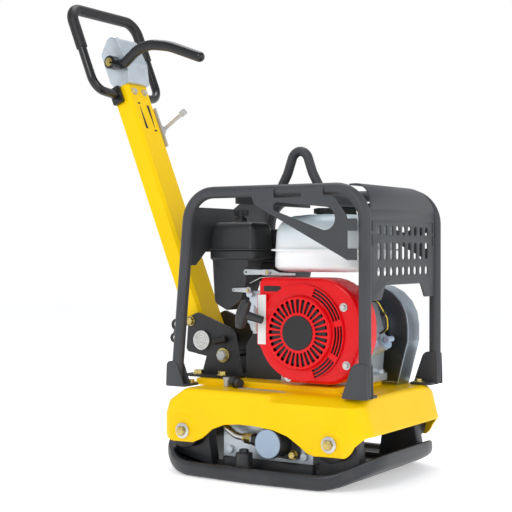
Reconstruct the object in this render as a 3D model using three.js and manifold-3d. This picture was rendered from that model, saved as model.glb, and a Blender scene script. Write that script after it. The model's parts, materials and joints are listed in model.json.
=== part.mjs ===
// A reversible plate compactor: cast base plate, belt-driven exciter, sprung engine bed, guard cage,
// petrol engine and a folding centre pole. Millimetres, +X forward, +Y to the left, +Z up,
// with the origin at the middle of the sole, on the ground.
import * as THREE from "three";
import { mergeVertices } from "three/addons/utils/BufferGeometryUtils.js";
import Module from "manifold-3d";

const wasm = await Module();
wasm.setup();

// ---- driving dimensions ----------------------------------------------------------------------
const gap = 0.3; // clearance between pieces that touch
const tubeRoom = 0.9; // room round a faceted bar inside a sleeve

// base plate
const plateLength = 500;
const plateWidth = 430;
const plateCorner = 120;
const soleThickness = 16;
const lipTop = 60;
const lipRun = 88;
const rimTop = 30;
const rimWall = 15;

// rubber mounts and the towers that carry them
const mountX = 170;
const mountZ = 88;
const mountRadius = 36;
const mountLength = 33;
const towerThickness = 30;
const boltRadius = 6;
const boltClearance = 0.4;
const washerRadius = 16;
const washerThickness = 3;
const boltHead = 8;

// exciter
const pedestalHeight = 19;
const exciterEnd = 41; // housing beyond the gears, at each end
const exciterFloor = 10; // housing below the gears' pitch circle
const exciterRoof = 12;
const exciterLeft = 90;
const exciterWall = 12;
const shaftSpacing = 64;
const shaftRadius = 12;
const eccentricRadius = 29;
const gearTeeth = 12;
const gearRoom = 1.1875; // the gear case's reach, as a multiple of the gears' pitch radius
const shiftCylinderRadius = 30;
const shiftCylinderLength = 48;
const cylinderRoom = 2; // between the shift cylinder and the bed's apron
const archRise = 3.7; // the apron's arch above the shift cylinder, at its rear end

// engine bed
const bedTop = 175;
const bedWidth = 368;
const bedSheet = 4;
const bedRear = -221;
const bedFront = 246;
const cornerEase = 1; // how far the rear corner's bend laps the mount
const shoulderTilt = 32; // degrees, the slope of the bed's bevelled shoulders
const platformHeight = 12;
const platformRear = -195;
const platformFront = 150;
const platformWidth = 220;

// guard cage
const tubeRadius = 12;
const hoopY = 161;
const hoopTop = 573; // centre line of the top rail
const hoopFront = 234;
const hoopRearTop = -167;
const hoopRearFoot = -202;
const hoopBend = 62;
const panelSheet = 3;
const eyeBar = 10;
const eyeTop = 661;
const crossWidth = 130;

// centre pole, its bracket and its pivot
const poleLean = THREE.MathUtils.degToRad(22);
const pivotX = -208;
const pivotZ = 263;
const pivotRadius = 12;
const poleWidth = 80;
const poleDepth = 42;
const poleSheet = 4;
const poleFrontFace = 6;
const poleLength = 611;
const bracketRoom = 9; // between the pole and each cheek, for the latch
const spacerRoom = 1; // the pole's boss beyond its side
const bracketSheet = 8;
const bracketFoot = 6;

// control head and handle, measured along the pole
const headLength = 119;
const headWidth = 80;
const headDepth = 62;
const leverHubAt = 668;
const leverHubRadius = 15;
const leverRadius = 11;
const handleStart = 594;
const handleTop = 804;
const handleHalfWidth = 117;
const handleRadius = 10;
const sleeveRadius = 12.5;

// engine
const crankX = 76.5;
const crankHeight = 106; // above the engine's foot
const shroudFace = -126;
const shroudBack = -62;
const shroudRadius = 132;
const shroudRise = 108; // the fan cover's top above the crank
const headSeat = 0.7; // keeps the cylinder head off the crankcase
const leverBoss = 7;
const governorLift = 2.7; // room under the governor lever's boss
const recoilRadius = 96;
const recoilDome = 72;
const recoilFace = -142;
const crankRadius = 10;
const tankLength = 197;
const tankWidth = 208;
const tankBottom = 412;
const tankTop = 528;
const capX = 64;
const airX = -103;
const airY = -67;
const clutchY = 108;
const beltWidth = 13;
const clutchRadius = 38;
const pulleyRadius = 45;

// ---- values worked out from them ---------------------------------------------------------------
const engineFoot = bedTop + platformHeight + gap;
const crankZ = engineFoot + crankHeight;
const governorZ = crankZ + shroudRise + leverBoss + governorLift;
const exciterFoot = soleThickness + pedestalHeight + gap;
const driveX = -shaftSpacing / 2;
const drivenX = shaftSpacing / 2;
const shaftHeight = drivenX + exciterFloor; // above the housing's foot
const shaftZ = exciterFoot + shaftHeight;
const exciterLength = 2 * (shaftSpacing + exciterEnd);
const exciterHeight = shaftSpacing + exciterFloor + exciterRoof;
const bedFrontCorner = bedFront - mountX - mountRadius;
const bedRearCorner = cornerEase - bedRear - mountX - mountRadius;
const apronInner = bedWidth / 2 - bedSheet;
const exciterRight = -(apronInner - shiftCylinderLength - cylinderRoom);
const bracketInner = poleWidth / 2 + bracketRoom;
const mountOuter = apronInner - gap;
const mountInner = mountOuter - mountLength;
const towerOuter = mountInner - gap;

// ---- materials ---------------------------------------------------------------------------------
const paint = (color, roughness, metalness) =>
  new THREE.MeshStandardMaterial({ color, roughness, metalness });
const yellow = paint(0xf8d20a, 0.35, 0.1);
const black = paint(0x3a3b3d, 0.55, 0.2);
const cast = paint(0x15171a, 0.6, 0.2);
const red = paint(0xd8121a, 0.3, 0.1);
const white = paint(0xe8f0f2, 0.3, 0);
const zinc = paint(0xb8bcc0, 0.35, 0.9);
const alloy = paint(0xa8b2b8, 0.5, 0.7);
const steel = paint(0x8d9296, 0.35, 1);
const rubber = paint(0x101113, 0.8, 0);
const plastic = paint(0x1c1d1f, 0.5, 0);

// ---- solids --------------------------------------------------------------------------------------
const TURN = 2 * Math.PI;

// A closed geometry as a solid that can be joined and cut.
function solid(geometry) {
  const plain = geometry.index ? geometry.toNonIndexed() : geometry.clone();
  plain.deleteAttribute("normal");
  plain.deleteAttribute("uv");
  const merged = mergeVertices(plain, 1e-4);
  return new wasm.Manifold(
    new wasm.Mesh({
      numProp: 3,
      vertProperties: merged.attributes.position.array,
      triVerts: new Uint32Array(merged.index.array),
    }),
  );
}

const join = (first, ...rest) => rest.reduce((a, b) => a.add(b), first);
const cut = (first, ...rest) => rest.reduce((a, b) => a.subtract(b), first);

// A box between two corners.
function block(x0, x1, y0, y1, z0, z1) {
  const box = new THREE.BoxGeometry(x1 - x0, y1 - y0, z1 - z0);
  return solid(box.translate((x0 + x1) / 2, (y0 + y1) / 2, (z0 + z1) / 2));
}

// A round bar, or a cone, between two points.
function bar(from, to, radius, sides = 12, endRadius = radius) {
  const start = new THREE.Vector3(...from);
  const along = new THREE.Vector3(...to).sub(start);
  const shape = new THREE.CylinderGeometry(endRadius, radius, along.length(), sides);
  shape.translate(0, along.length() / 2, 0);
  const turn = new THREE.Quaternion().setFromUnitVectors(
    new THREE.Vector3(0, 1, 0),
    along.clone().normalize(),
  );
  return solid(shape.applyQuaternion(turn).translate(start.x, start.y, start.z));
}

const barY = (x, z, y0, y1, radius, sides = 14) => bar([x, y0, z], [x, y1, z], radius, sides);

// An outline from corners [x, y, radius]; a corner with a radius becomes an arc.
function outline(corners, steps = 3) {
  const points = [];
  corners.forEach(([x, y, radius], i) => {
    const here = new THREE.Vector2(x, y);
    if (!radius) {
      points.push(here);
      return;
    }
    const before = corners[(i + corners.length - 1) % corners.length];
    const after = corners[(i + 1) % corners.length];
    const back = new THREE.Vector2(before[0], before[1]).sub(here).normalize();
    const on = new THREE.Vector2(after[0], after[1]).sub(here).normalize();
    const half = Math.acos(THREE.MathUtils.clamp(back.dot(on), -1, 1)) / 2;
    const middle = back.clone().add(on).normalize();
    const centre = here.clone().addScaledVector(middle, radius / Math.sin(half));
    const start = here.clone().addScaledVector(back, radius / Math.tan(half)).sub(centre);
    const turn = Math.sign(back.cross(on)) * (Math.PI - 2 * half);
    for (let k = 0; k <= steps; k++) {
      const spoke = start.clone().rotateAround(new THREE.Vector2(), (-turn * k) / steps);
      points.push(centre.clone().add(spoke));
    }
  });
  return new THREE.Shape(points);
}

function disc(x, y, radius, sides = 18) {
  const points = [];
  for (let i = 0; i < sides; i++) {
    const a = (TURN * i) / sides;
    points.push(new THREE.Vector2(x + radius * Math.cos(a), y + radius * Math.sin(a)));
  }
  return new THREE.Shape(points);
}

const extrude = (shape, depth) =>
  new THREE.ExtrudeGeometry(shape, { depth, bevelEnabled: false, steps: 1 });

// An outline drawn in X and Z, carried along Y.
const alongY = (shape, y0, y1) =>
  solid(extrude(shape, y1 - y0).rotateX(Math.PI / 2).translate(0, y1, 0));

// An outline drawn in X and Y, carried along Z.
const alongZ = (shape, z0, z1) => solid(extrude(shape, z1 - z0).translate(0, 0, z0));

// A path of straight runs with an arc at each corner [x, y, z, radius], stepped at its own knots.
class BentPath extends THREE.Curve {
  constructor(corners, arcSteps = 5) {
    super();
    this.knots = [];
    this.tangents = [];
    const at = corners.map((c) => new THREE.Vector3(c[0], c[1], c[2]));
    at.forEach((here, i) => {
      const into = i > 0 ? here.clone().sub(at[i - 1]).normalize() : null;
      const out = i < at.length - 1 ? at[i + 1].clone().sub(here).normalize() : null;
      if (!into || !out) {
        this.knots.push(here);
        this.tangents.push(into || out);
        return;
      }
      const angle = into.angleTo(out);
      const radius = corners[i][3] || 1;
      const reach = radius * Math.tan(angle / 2);
      const side = out.clone().addScaledVector(into, -out.dot(into)).normalize();
      const start = here.clone().addScaledVector(into, -reach);
      for (let k = 0; k <= arcSteps; k++) {
        const a = (angle * k) / arcSteps;
        const point = start.clone().addScaledVector(into, radius * Math.sin(a));
        this.knots.push(point.addScaledVector(side, radius * (1 - Math.cos(a))));
        const tangent = into.clone().multiplyScalar(Math.cos(a));
        this.tangents.push(tangent.addScaledVector(side, Math.sin(a)));
      }
    });
  }

  getPointAt(u, target = new THREE.Vector3()) {
    return target.copy(this.knots[Math.round(u * (this.knots.length - 1))]);
  }

  getTangentAt(u, target = new THREE.Vector3()) {
    return target.copy(this.tangents[Math.round(u * (this.knots.length - 1))]);
  }
}

// A round tube or bar bent along a path.
function bent(corners, radius, sides = 12, arcSteps = 5) {
  const path = new BentPath(corners, arcSteps);
  return solid(
    new THREE.ExtrudeGeometry(disc(0, 0, radius, sides), {
      steps: path.knots.length - 1,
      extrudePath: path,
      bevelEnabled: false,
    }),
  );
}

// A round piece from a profile [radius, y] turned about an axis that points along Y at x, z.
function turnedY(profile, x, z, sides = 18) {
  const points = profile.map(([r, y]) => new THREE.Vector2(r, y));
  return solid(new THREE.LatheGeometry(points, sides).translate(x, 0, z));
}

const hexY = (x, z, y0, y1, radius = 10) => barY(x, z, y0, y1, radius, 6);

// ---- the scene graph -------------------------------------------------------------------------------
const group = new THREE.Group();
const poleGroup = new THREE.Group();
poleGroup.position.set(pivotX, 0, pivotZ);
poleGroup.rotation.y = -poleLean;
group.add(poleGroup);

function add(name, made, material, parent = group) {
  const mesh = made.getMesh();
  const geometry = new THREE.BufferGeometry();
  geometry.setAttribute("position", new THREE.BufferAttribute(mesh.vertProperties, 3));
  geometry.setIndex(new THREE.BufferAttribute(mesh.triVerts, 1));
  const node = new THREE.Mesh(geometry, material);
  node.name = name;
  parent.add(node);
}

// ---- base plate ------------------------------------------------------------------------------------
function plateProfile(thickness) {
  const end = plateLength / 2;
  const flat = end - lipRun;
  const lipBottom = lipTop - soleThickness;
  return outline([
    [-end, lipBottom],
    [-flat, 0, 110],
    [flat, 0, 110],
    [end, lipBottom],
    [end, lipBottom + thickness],
    [flat, thickness, 90],
    [-flat, thickness, 90],
    [-end, lipBottom + thickness],
  ]);
}

function platePlan(inset) {
  const x = plateLength / 2 - inset;
  const y = plateWidth / 2 - inset;
  const bow = 16; // how far each long side swells at its middle
  const radius = plateCorner - inset;
  return outline(
    [
      [-x, -y + bow, radius],
      [0, -y],
      [x, -y + bow, radius],
      [x, y - bow, radius],
      [0, y],
      [-x, y - bow, radius],
    ],
    3,
  );
}

function tower(x, side) {
  const y = side * towerOuter;
  const back = side * (towerOuter - towerThickness);
  const head = mountRadius - 4;
  const spread = mountRadius + 12;
  const web = outline([
    [x - spread, 2],
    [x + spread, 2],
    [x + head, mountZ + head, head - 4],
    [x - head, mountZ + head, head - 4],
  ]);
  const plate = alongY(web, Math.min(y, back), Math.max(y, back));
  const studDepth = side * (towerOuter - towerThickness / 2);
  return cut(
    plate,
    barY(x, mountZ, Math.min(y + side, studDepth), Math.max(y + side, studDepth),
      boltRadius + boltClearance, 12),
  );
}

function basePlate() {
  const body = alongY(plateProfile(soleThickness), -plateWidth, plateWidth);
  const tall = alongY(plateProfile(rimTop), -plateWidth, plateWidth);
  const ring = cut(
    alongZ(platePlan(0), -1, lipTop * 2),
    alongZ(platePlan(rimWall), -2, lipTop * 3),
  );
  const lipCap = block(-plateLength, plateLength, -plateWidth, plateWidth, -1, lipTop);
  const floor = body.intersect(alongZ(platePlan(0), -1, lipTop * 2));
  const rim = tall.intersect(ring).intersect(lipCap);
  const pedestalX = exciterLength / 2 + 4;
  const pedestal = block(
    -pedestalX, pedestalX, exciterRight - 4, exciterLeft + 4,
    soleThickness - 2, soleThickness + pedestalHeight,
  );
  const overSole = alongY(plateProfile(mountZ * 2), -plateWidth, plateWidth);
  const towers = [-1, 1]
    .flatMap((side) => [tower(-mountX, side), tower(mountX, side)])
    .map((made) => made.intersect(overSole));
  const ribs = [-1, 1].map((side) =>
    block(
      -mountX, mountX, side * 120 - 6, side * 120 + 6,
      soleThickness - 2, soleThickness + pedestalHeight / 2,
    ),
  );
  const boss = bar([-30, -170, soleThickness - 2], [-30, -170, 54], 17);
  const bossBolt = bar([-30, -170, 53], [-30, -170, 61], 9, 6);
  return join(floor, rim, pedestal, ...towers, ...ribs, boss, bossBolt);
}

// ---- rubber mounts ---------------------------------------------------------------------------------
function rubberMount(x, side) {
  const y0 = side * mountInner;
  const y1 = side * mountOuter;
  const waist = mountRadius - 5;
  const body = turnedY(
    [
      [0, Math.min(y0, y1)],
      [mountRadius, Math.min(y0, y1)],
      [mountRadius, Math.min(y0, y1) + 6],
      [waist, (y0 + y1) / 2],
      [mountRadius, Math.max(y0, y1) - 6],
      [mountRadius, Math.max(y0, y1)],
      [0, Math.max(y0, y1)],
    ],
    x,
    mountZ,
    16,
  );
  const stud = barY(x, mountZ,
    Math.min(y0 + side, y0 - side * (towerThickness / 2 - 3)),
    Math.max(y0 + side, y0 - side * (towerThickness / 2 - 3)), boltRadius, 12);
  const seat = barY(x, mountZ,
    Math.min(y1 + side, y1 - side * 16), Math.max(y1 + side, y1 - side * 16),
    boltRadius + boltClearance, 12);
  return cut(join(body, stud), seat);
}

function mountBolt(x, side) {
  const face = side * (bedWidth / 2 + gap);
  const span = (from, to, radius, sides) =>
    barY(x, mountZ, Math.min(from, to), Math.max(from, to), radius, sides);
  return join(
    span(face, face + side * washerThickness, washerRadius, 20),
    span(face + side * 2, face + side * (washerThickness + boltHead), 10, 6),
    span(face + side, side * (mountOuter - 14), boltRadius, 12),
  );
}

// ---- exciter ---------------------------------------------------------------------------------------
function exciterHousing() {
  const x = exciterLength / 2;
  const top = exciterFoot + exciterHeight;
  const shell = outline([
    [-x, exciterFoot],
    [x, exciterFoot],
    [x, top, 18],
    [-x, top, 18],
  ]);
  const inside = gearRoom * drivenX;
  const hollow = outline([
    [driveX - inside, shaftZ - inside + 1, 12],
    [drivenX + inside, shaftZ - inside + 1, 12],
    [drivenX + inside, shaftZ + inside, 12],
    [driveX - inside, shaftZ + inside, 12],
  ]);
  const near = exciterRight + exciterWall + gap;
  const far = exciterLeft - exciterWall - gap;
  return cut(alongY(shell, near, far), alongY(hollow, near - 1, far + 1));
}

function exciterCover(y0, y1, holes) {
  const x = exciterLength / 2;
  const shell = outline([
    [-x, exciterFoot],
    [x, exciterFoot],
    [x, exciterFoot + exciterHeight, 18],
    [-x, exciterFoot + exciterHeight, 18],
  ]);
  const bores = holes.map((holeX) => barY(holeX, shaftZ, y0 - 1, y1 + 1, shaftRadius + gap, 18));
  return cut(alongY(shell, y0, y1), ...bores);
}

function coverBolts(y, side) {
  const x = exciterLength / 2 - 18;
  const places = [
    [-x, exciterFoot + 15],
    [x, exciterFoot + 15],
    [-x, exciterFoot + exciterHeight - 15],
    [x, exciterFoot + exciterHeight - 15],
  ];
  return places.map(([bx, bz]) =>
    hexY(bx, bz, Math.min(y - side, y + side * 7), Math.max(y - side, y + side * 7), 8),
  );
}

// A toothed wheel about a shaft; phase is in tooth pitches.
function gearOutline(x, z, phase) {
  const pitch = shaftSpacing / 2;
  const module = shaftSpacing / gearTeeth;
  const points = [];
  for (let i = 0; i < gearTeeth; i++) {
    [
      [-0.32, -1.15],
      [-0.11, 0.8],
      [0.11, 0.8],
      [0.32, -1.15],
    ].forEach(([share, height]) => {
      const a = (TURN * (i + phase + share)) / gearTeeth;
      const r = pitch + height * module;
      points.push(new THREE.Vector2(x + r * Math.cos(a), z + r * Math.sin(a)));
    });
  }
  return new THREE.Shape(points);
}

// Shaft with a gear and two half-round weights that hang down at rest.
function eccentricShaft(x, phase, yNear, yFar) {
  const shaft = barY(x, shaftZ, yNear, yFar, shaftRadius, 18);
  const gear = alongY(gearOutline(x, shaftZ, phase), exciterLeft - 42, exciterLeft - 24);
  const clip = block(x - 40, x + 40, exciterRight, exciterLeft, shaftZ - 60, shaftZ - 2);
  const weights = [
    [exciterRight + 34, exciterRight + 86],
    [exciterLeft - 106, exciterLeft - 54],
  ].map(([y0, y1]) => barY(x, shaftZ, y0, y1, eccentricRadius, 18).intersect(clip));
  return join(shaft, gear, ...weights);
}

function shiftCylinder() {
  const face = exciterRight - gap;
  const end = face - shiftCylinderLength;
  const flange = outline([
    [drivenX - 36, shaftZ - 30, 12],
    [drivenX + 44, shaftZ - 36, 12],
    [drivenX + 44, shaftZ - 8, 12],
    [drivenX + 36, shaftZ + 30, 12],
    [drivenX - 36, shaftZ + 30, 12],
  ]);
  return cut(
    join(
      barY(drivenX, shaftZ, end, face - 4, shiftCylinderRadius, 18),
      barY(drivenX, shaftZ, end - 3, end + 1, shiftCylinderRadius - 1, 18),
      alongY(flange, face - 9, face),
      hexY(drivenX + 34, shaftZ - 24, face - 15, face - 8, 7),
      barY(drivenX, shaftZ + 12, end + 6, end + 30, 22, 16),
    ),
    barY(drivenX, shaftZ, face - 14, face + 1, shaftRadius + 2, 18),
  );
}

// The pipe runs from the cylinder's rear side up beside the housing; the hose carries on from it.
const pipeRadius = 7;
const cableRadius = 3;
const pipeY = exciterRight - 26;
const pipeX = drivenX - shiftCylinderRadius - gap;
const pipeEnd = [pipeX - 100, pipeY + 4, 134];
const hoseRise = [-184, 0];

function shiftPipe() {
  return join(
    bent(
      [
        [pipeX, pipeY, shaftZ],
        [pipeX - 60, pipeY, shaftZ + 6, 30],
        [pipeEnd[0], pipeEnd[1], shaftZ + 30, 24],
        pipeEnd,
      ],
      pipeRadius,
      10,
      3,
    ),
    bar([pipeX, pipeY, shaftZ], [pipeX - 22, pipeY, shaftZ + 2.2], 10.5, 12),
    bar([pipeX - 20, pipeY, shaftZ + 2], [pipeX - 40, pipeY, shaftZ + 4], 9.5, 6),
  );
}

function shiftHose() {
  const level = 152;
  return bent(
    [
      [pipeEnd[0], pipeEnd[1], pipeEnd[2] + gap],
      [pipeEnd[0], pipeEnd[1], level, 14],
      [hoseRise[0], hoseRise[1], level, 10],
      [hoseRise[0], hoseRise[1], pivotZ - pivotRadius - 16],
    ],
    pipeRadius,
    10,
    3,
  );
}

const hoseHole = (z0, z1) =>
  bar([hoseRise[0], hoseRise[1], z0], [hoseRise[0], hoseRise[1], z1], pipeRadius + 2, 12);

function exciterPulley() {
  const half = beltWidth / 2 + 4;
  const groove = pulleyRadius - 7;
  return cut(
    turnedY(
      [
        [0, clutchY - half],
        [pulleyRadius + 4, clutchY - half],
        [pulleyRadius + 4, clutchY - half + 3],
        [groove, clutchY - 3],
        [groove, clutchY + 3],
        [pulleyRadius + 4, clutchY + half - 3],
        [pulleyRadius + 4, clutchY + half],
        [0, clutchY + half],
      ],
      driveX,
      shaftZ,
      20,
    ),
    barY(driveX, shaftZ, clutchY - half - 1, clutchY + half - 6, shaftRadius + gap, 18),
  );
}

// The belt runs round two circles; its two straight runs are their outer tangents.
function beltOutline(grow) {
  const from = new THREE.Vector2(driveX, shaftZ);
  const to = new THREE.Vector2(crankX, crankZ);
  const low = pulleyRadius + grow;
  const high = clutchRadius + grow;
  const along = to.clone().sub(from);
  const angle = along.angle();
  const lift = Math.acos((low - high) / along.length());
  const points = [];
  const arc = (centre, radius, a0, a1) => {
    const steps = 14;
    for (let i = 0; i <= steps; i++) {
      const a = a0 + ((a1 - a0) * i) / steps;
      points.push(
        new THREE.Vector2(centre.x + radius * Math.cos(a), centre.y + radius * Math.sin(a)),
      );
    }
  };
  arc(to, high, angle - lift, angle + lift);
  arc(from, low, angle + lift, angle + TURN - lift);
  return new THREE.Shape(points);
}

function driveBelt() {
  const y0 = clutchY - beltWidth / 2 + 4.4;
  const y1 = clutchY + beltWidth / 2 - 4.4;
  return cut(alongY(beltOutline(3), y0, y1), alongY(beltOutline(-6.4), y0 - 1, y1 + 1));
}

// ---- engine bed ------------------------------------------------------------------------------------
// Side outline of the bed, drawn in X and Z; inset moves its top and ends inwards.
function bedSide(inset) {
  const top = bedTop - inset;
  const rear = bedRear + inset;
  const front = bedFront - inset;
  return outline(
    [
      [rear, 60],
      [front, 60],
      [front, 108],
      [front - 18, top, 14],
      [rear + 52, top, 16],
      [rear + 9, 147, 20],
      [rear, 120],
    ],
    2,
  );
}

function bedPlan(inset) {
  const y = bedWidth / 2 - inset;
  const front = bedFrontCorner - inset;
  const rear = bedRearCorner - inset;
  return outline(
    [
      [bedRear + inset, -y, rear],
      [bedFront - inset, -y, front],
      [bedFront - inset, y, front],
      [bedRear + inset, y, rear],
    ],
    3,
  );
}

function bedShell(inset) {
  const y = bedWidth / 2 - inset;
  const body = alongY(bedSide(inset), -y, y).intersect(alongZ(bedPlan(inset), 0, bedTop + 1));
  const shoulders = [-1, 1].map((side) => {
    const slope = alongZ(
      new THREE.Shape([
        new THREE.Vector2(26, 0),
        new THREE.Vector2(46, 26),
        new THREE.Vector2(300, 26),
        new THREE.Vector2(300, -40),
        new THREE.Vector2(26, -40),
      ]),
      0,
      40,
    );
    const tilt = slope.rotate([shoulderTilt, 0, 0]);
    const placed = tilt.translate([0, -bedWidth / 2 + 24 + inset, bedTop - inset]);
    return side < 0 ? placed : placed.mirror([0, 1, 0]);
  });
  return cut(body, ...shoulders);
}

// What is left below the aprons' lower edge: two lobes over the mounts and an arch between them.
function apronCutter() {
  const rear = bedRear;
  const lobe = mountZ - 22;
  const cylinderTop = shaftZ + shiftCylinderRadius;
  return outline(
    [
      [rear - 40, 40],
      [rear - 40, 118],
      [rear - 1, 118],
      [rear + 13, 97],
      [rear + 21, lobe + 4, 8],
      [-mountX + 30, lobe, 12],
      [-95, 101, 20],
      [-40, cylinderTop + archRise, 30],
      [drivenX + 8, cylinderTop - gap, 30],
      [96, 90, 20],
      [mountX - 38, lobe - 2, 12],
      [mountX + 33, lobe, 8],
      [mountX + 43, 88],
      [bedFront - 14, 104],
      [bedFront + 40, 104],
      [bedFront + 40, 40],
    ],
    2,
  );
}

function engineBed() {
  const shell = cut(bedShell(0), bedShell(bedSheet));
  const trimmed = cut(shell, alongY(apronCutter(), -bedWidth, bedWidth));
  const holes = [-1, 1].flatMap((side) =>
    [-mountX, mountX].map((x) =>
      barY(x, mountZ, side > 0 ? apronInner - 2 : -bedWidth / 2 - 2,
        side > 0 ? bedWidth / 2 + 2 : -apronInner + 2, boltRadius + boltClearance, 16),
    ),
  );
  const beltSlot = block(driveX - 50, crankX + 50, clutchY - 14, clutchY + 14, 150, bedTop + 2);
  return cut(join(trimmed, platform()), ...holes, beltSlot, hoseHole(100, 300));
}

// The raised seat for the engine and the pole bracket, welded on the bed.
function platform() {
  const y = platformWidth / 2;
  const top = bedTop + platformHeight;
  const plate = outline([
    [platformRear, -y, 16],
    [platformFront, -y, 10],
    [platformFront, y - 20, 10],
    [platformRear, y - 20, 16],
  ]);
  return alongZ(plate, bedTop - 1, top);
}

// ---- guard cage ------------------------------------------------------------------------------------
function guardHoop(side) {
  const y = side * hoopY;
  const foot = bedTop + gap;
  const front = foot + 4;
  const tube = bent(
    [
      [hoopRearFoot, y, front],
      [hoopRearTop, y, hoopTop, hoopBend],
      [hoopFront, y, hoopTop, hoopBend],
      [hoopFront, y, front],
    ],
    tubeRadius,
    10,
    4,
  );
  const outer = y + side * (tubeRadius + 1);
  const inner = y - side * (tubeRadius + 1);
  const ys = [Math.min(outer, inner), Math.max(outer, inner)];
  const rearShoe = alongY(
    outline([[hoopRearFoot - 18, foot], [hoopRearFoot + 28, foot], [hoopRearFoot + 8, foot + 52],
      [hoopRearFoot - 16, foot + 52]], 2),
    ...ys,
  );
  const frontShoe = alongY(
    outline([[hoopFront - 44, foot], [hoopFront + 12, foot], [hoopFront + 10, foot + 68],
      [hoopFront - 20, foot + 68, 8]], 2),
    ...ys,
  );
  const rearTab = block(hoopRearFoot, hoopRearFoot + 48, Math.min(inner, y - side * 40),
    Math.max(inner, y - side * 40), foot, foot + 5);
  const frontTab = block(hoopFront - 40, hoopFront + 13, Math.min(inner, y - side * 38),
    Math.max(inner, y - side * 38), foot, foot + 5);
  const rearJoin = block(hoopRearFoot, hoopRearFoot + 20, ...ys, foot, foot + 5);
  const bolts = [hoopRearFoot + 36, hoopFront - 24].map((x) =>
    bar([x, y - side * 27, foot + 4], [x, y - side * 27, foot + 13], 9, 6),
  );
  return join(tube, rearShoe, frontShoe, rearTab, frontTab, rearJoin, ...bolts);
}

// A slot through a sheet that faces along X.
const slotX = (x, y, z, width, height) =>
  block(x - 10, x + 10, y - width / 2, y + width / 2, z - height / 2, z + height / 2);

// Nine slots in a row across the panel.
function slotRow(x, z, width, height) {
  const count = 9;
  const pitch = 27.5;
  return Array.from({ length: count }, (_, i) =>
    slotX(x, (i - (count - 1) / 2) * pitch, z, width, height),
  );
}

function frontPanel() {
  const x = hoopFront + 4;
  const rolled = hoopBend;
  const top = hoopTop + tubeRadius;
  const inner = panelSheet;
  const profile = outline(
    [
      [x - rolled - 20, top, 0],
      [x, top, rolled],
      [x, 360],
      [x - inner, 360],
      [x - inner, top - inner, rolled - inner],
      [x - rolled - 20, top - inner],
    ],
    4,
  );
  const half = hoopY - tubeRadius - gap;
  const sheet = alongY(profile, -half, half);
  const slots = [
    ...slotRow(x - 2, 496, 13, 20),
    ...slotRow(x - 2, 455, 13, 36),
    ...slotRow(x - 2, 416, 13, 20),
  ];
  const notch = solid(
    extrude(outline([[-100, 340], [100, 340], [81, 388], [-81, 388]]), 20)
      .rotateX(Math.PI / 2)
      .rotateZ(Math.PI / 2)
      .translate(x - 12, 0, 0),
  );
  const corners = [-1, 1].map((side) =>
    alongZ(
      new THREE.Shape(
        [
          new THREE.Vector2(x - 90, side * 92),
          new THREE.Vector2(x - 8, side * (half + 8)),
          new THREE.Vector2(x - 90, side * (half + 8)),
        ],
      ),
      540,
      hoopTop + 40,
    ),
  );
  return cut(sheet, notch, ...slots, ...corners);
}

function rearPanel() {
  const x = hoopRearTop - 9;
  const half = hoopY - tubeRadius - 3;
  const shape = outline([
    [-half, 424],
    [-half + 24, 424],
    [-half + 56, 452],
    [half - 56, 452],
    [half - 24, 424],
    [half, 424],
    [half, 574],
    [60, 574],
    [6, 545],
    [-half, 545],
  ]);
  const made = extrude(shape, panelSheet).rotateX(Math.PI / 2).rotateZ(Math.PI / 2);
  const lean = Math.atan2(hoopRearTop - hoopRearFoot, hoopTop - bedTop);
  return solid(made.translate(0, 0, -500).rotateY(lean).translate(x, 0, 500));
}

// The plate on the outside of a hoop, with tabs to the rail and the front post.
function sidePlate(side) {
  const y0 = side * (hoopY + tubeRadius + gap);
  const y1 = y0 - side * panelSheet;
  const rail = hoopTop - tubeRadius;
  const post = hoopFront - 30;
  const shape = outline(
    [
      [-8, hoopTop + 4],
      [42, hoopTop + 4],
      [42, rail - 3],
      [104, rail - 3],
      [104, hoopTop + 4],
      [152, hoopTop + 4],
      [152, rail],
      [176, rail - 3, 24],
      [post, 520, 30],
      [post, 515],
      [post + 20, 515],
      [post + 20, 492],
      [post, 492],
      [post, 459],
      [post + 20, 459],
      [post + 20, 437],
      [post, 437],
      [-2, 545],
      [-8, 558],
    ],
    3,
  );
  const small = 9;
  const big = 22;
  const hole = [
    [50, 540, small],
    [156, 516, big],
  ];
  const tear = [];
  const steps = 8;
  for (let i = 0; i <= steps; i++) {
    const a = Math.PI * (0.5 + i / steps) - 0.2;
    tear.push(new THREE.Vector2(hole[0][0] + small * Math.cos(a), hole[0][1] + small * Math.sin(a)));
  }
  for (let i = 0; i <= steps; i++) {
    const a = Math.PI * (-0.5 + i / steps) - 0.2;
    tear.push(new THREE.Vector2(hole[1][0] + big * Math.cos(a), hole[1][1] + big * Math.sin(a)));
  }
  const ys = [Math.min(y0, y1), Math.max(y0, y1)];
  const low = Math.min(...ys) + (side > 0 ? panelSheet : -panelSheet);
  return cut(
    alongY(shape, low, low + panelSheet),
    alongY(new THREE.Shape(tear), low - 2, low + panelSheet + 2),
  );
}

// A folded channel across the hoops with the lifting eye welded on it.
function liftingBar() {
  const half = hoopY - tubeRadius - gap;
  const x = crossWidth / 2;
  const top = hoopTop + 6;
  const channel = join(
    block(-x, x, -half, half, top - 6, top),
    block(-x, -x + 6, -half, half, top - 30, top - 5),
    block(x - 6, x, -half, half, top - 30, top - 5),
  );
  return join(channel, liftingEye(top - 3, eyeTop - eyeBar));
}

function liftingEye(foot, top) {
  return bent(
    [
      [-52, 0, foot],
      [-30, 0, top - 40, 60],
      [-14, 0, top + 6, 22],
      [14, 0, top + 6, 22],
      [30, 0, top - 40, 60],
      [52, 0, foot],
    ],
    eyeBar,
    10,
    3,
  );
}

// ---- pole bracket and pivot --------------------------------------------------------------------------
const bracketZ = bedTop + platformHeight + gap;
const latchX = pivotX - 32;
const latchZ = pivotZ + 40;
const latchY0 = -bracketInner + 1.5;
const latchY1 = latchY0 + 5;

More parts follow.
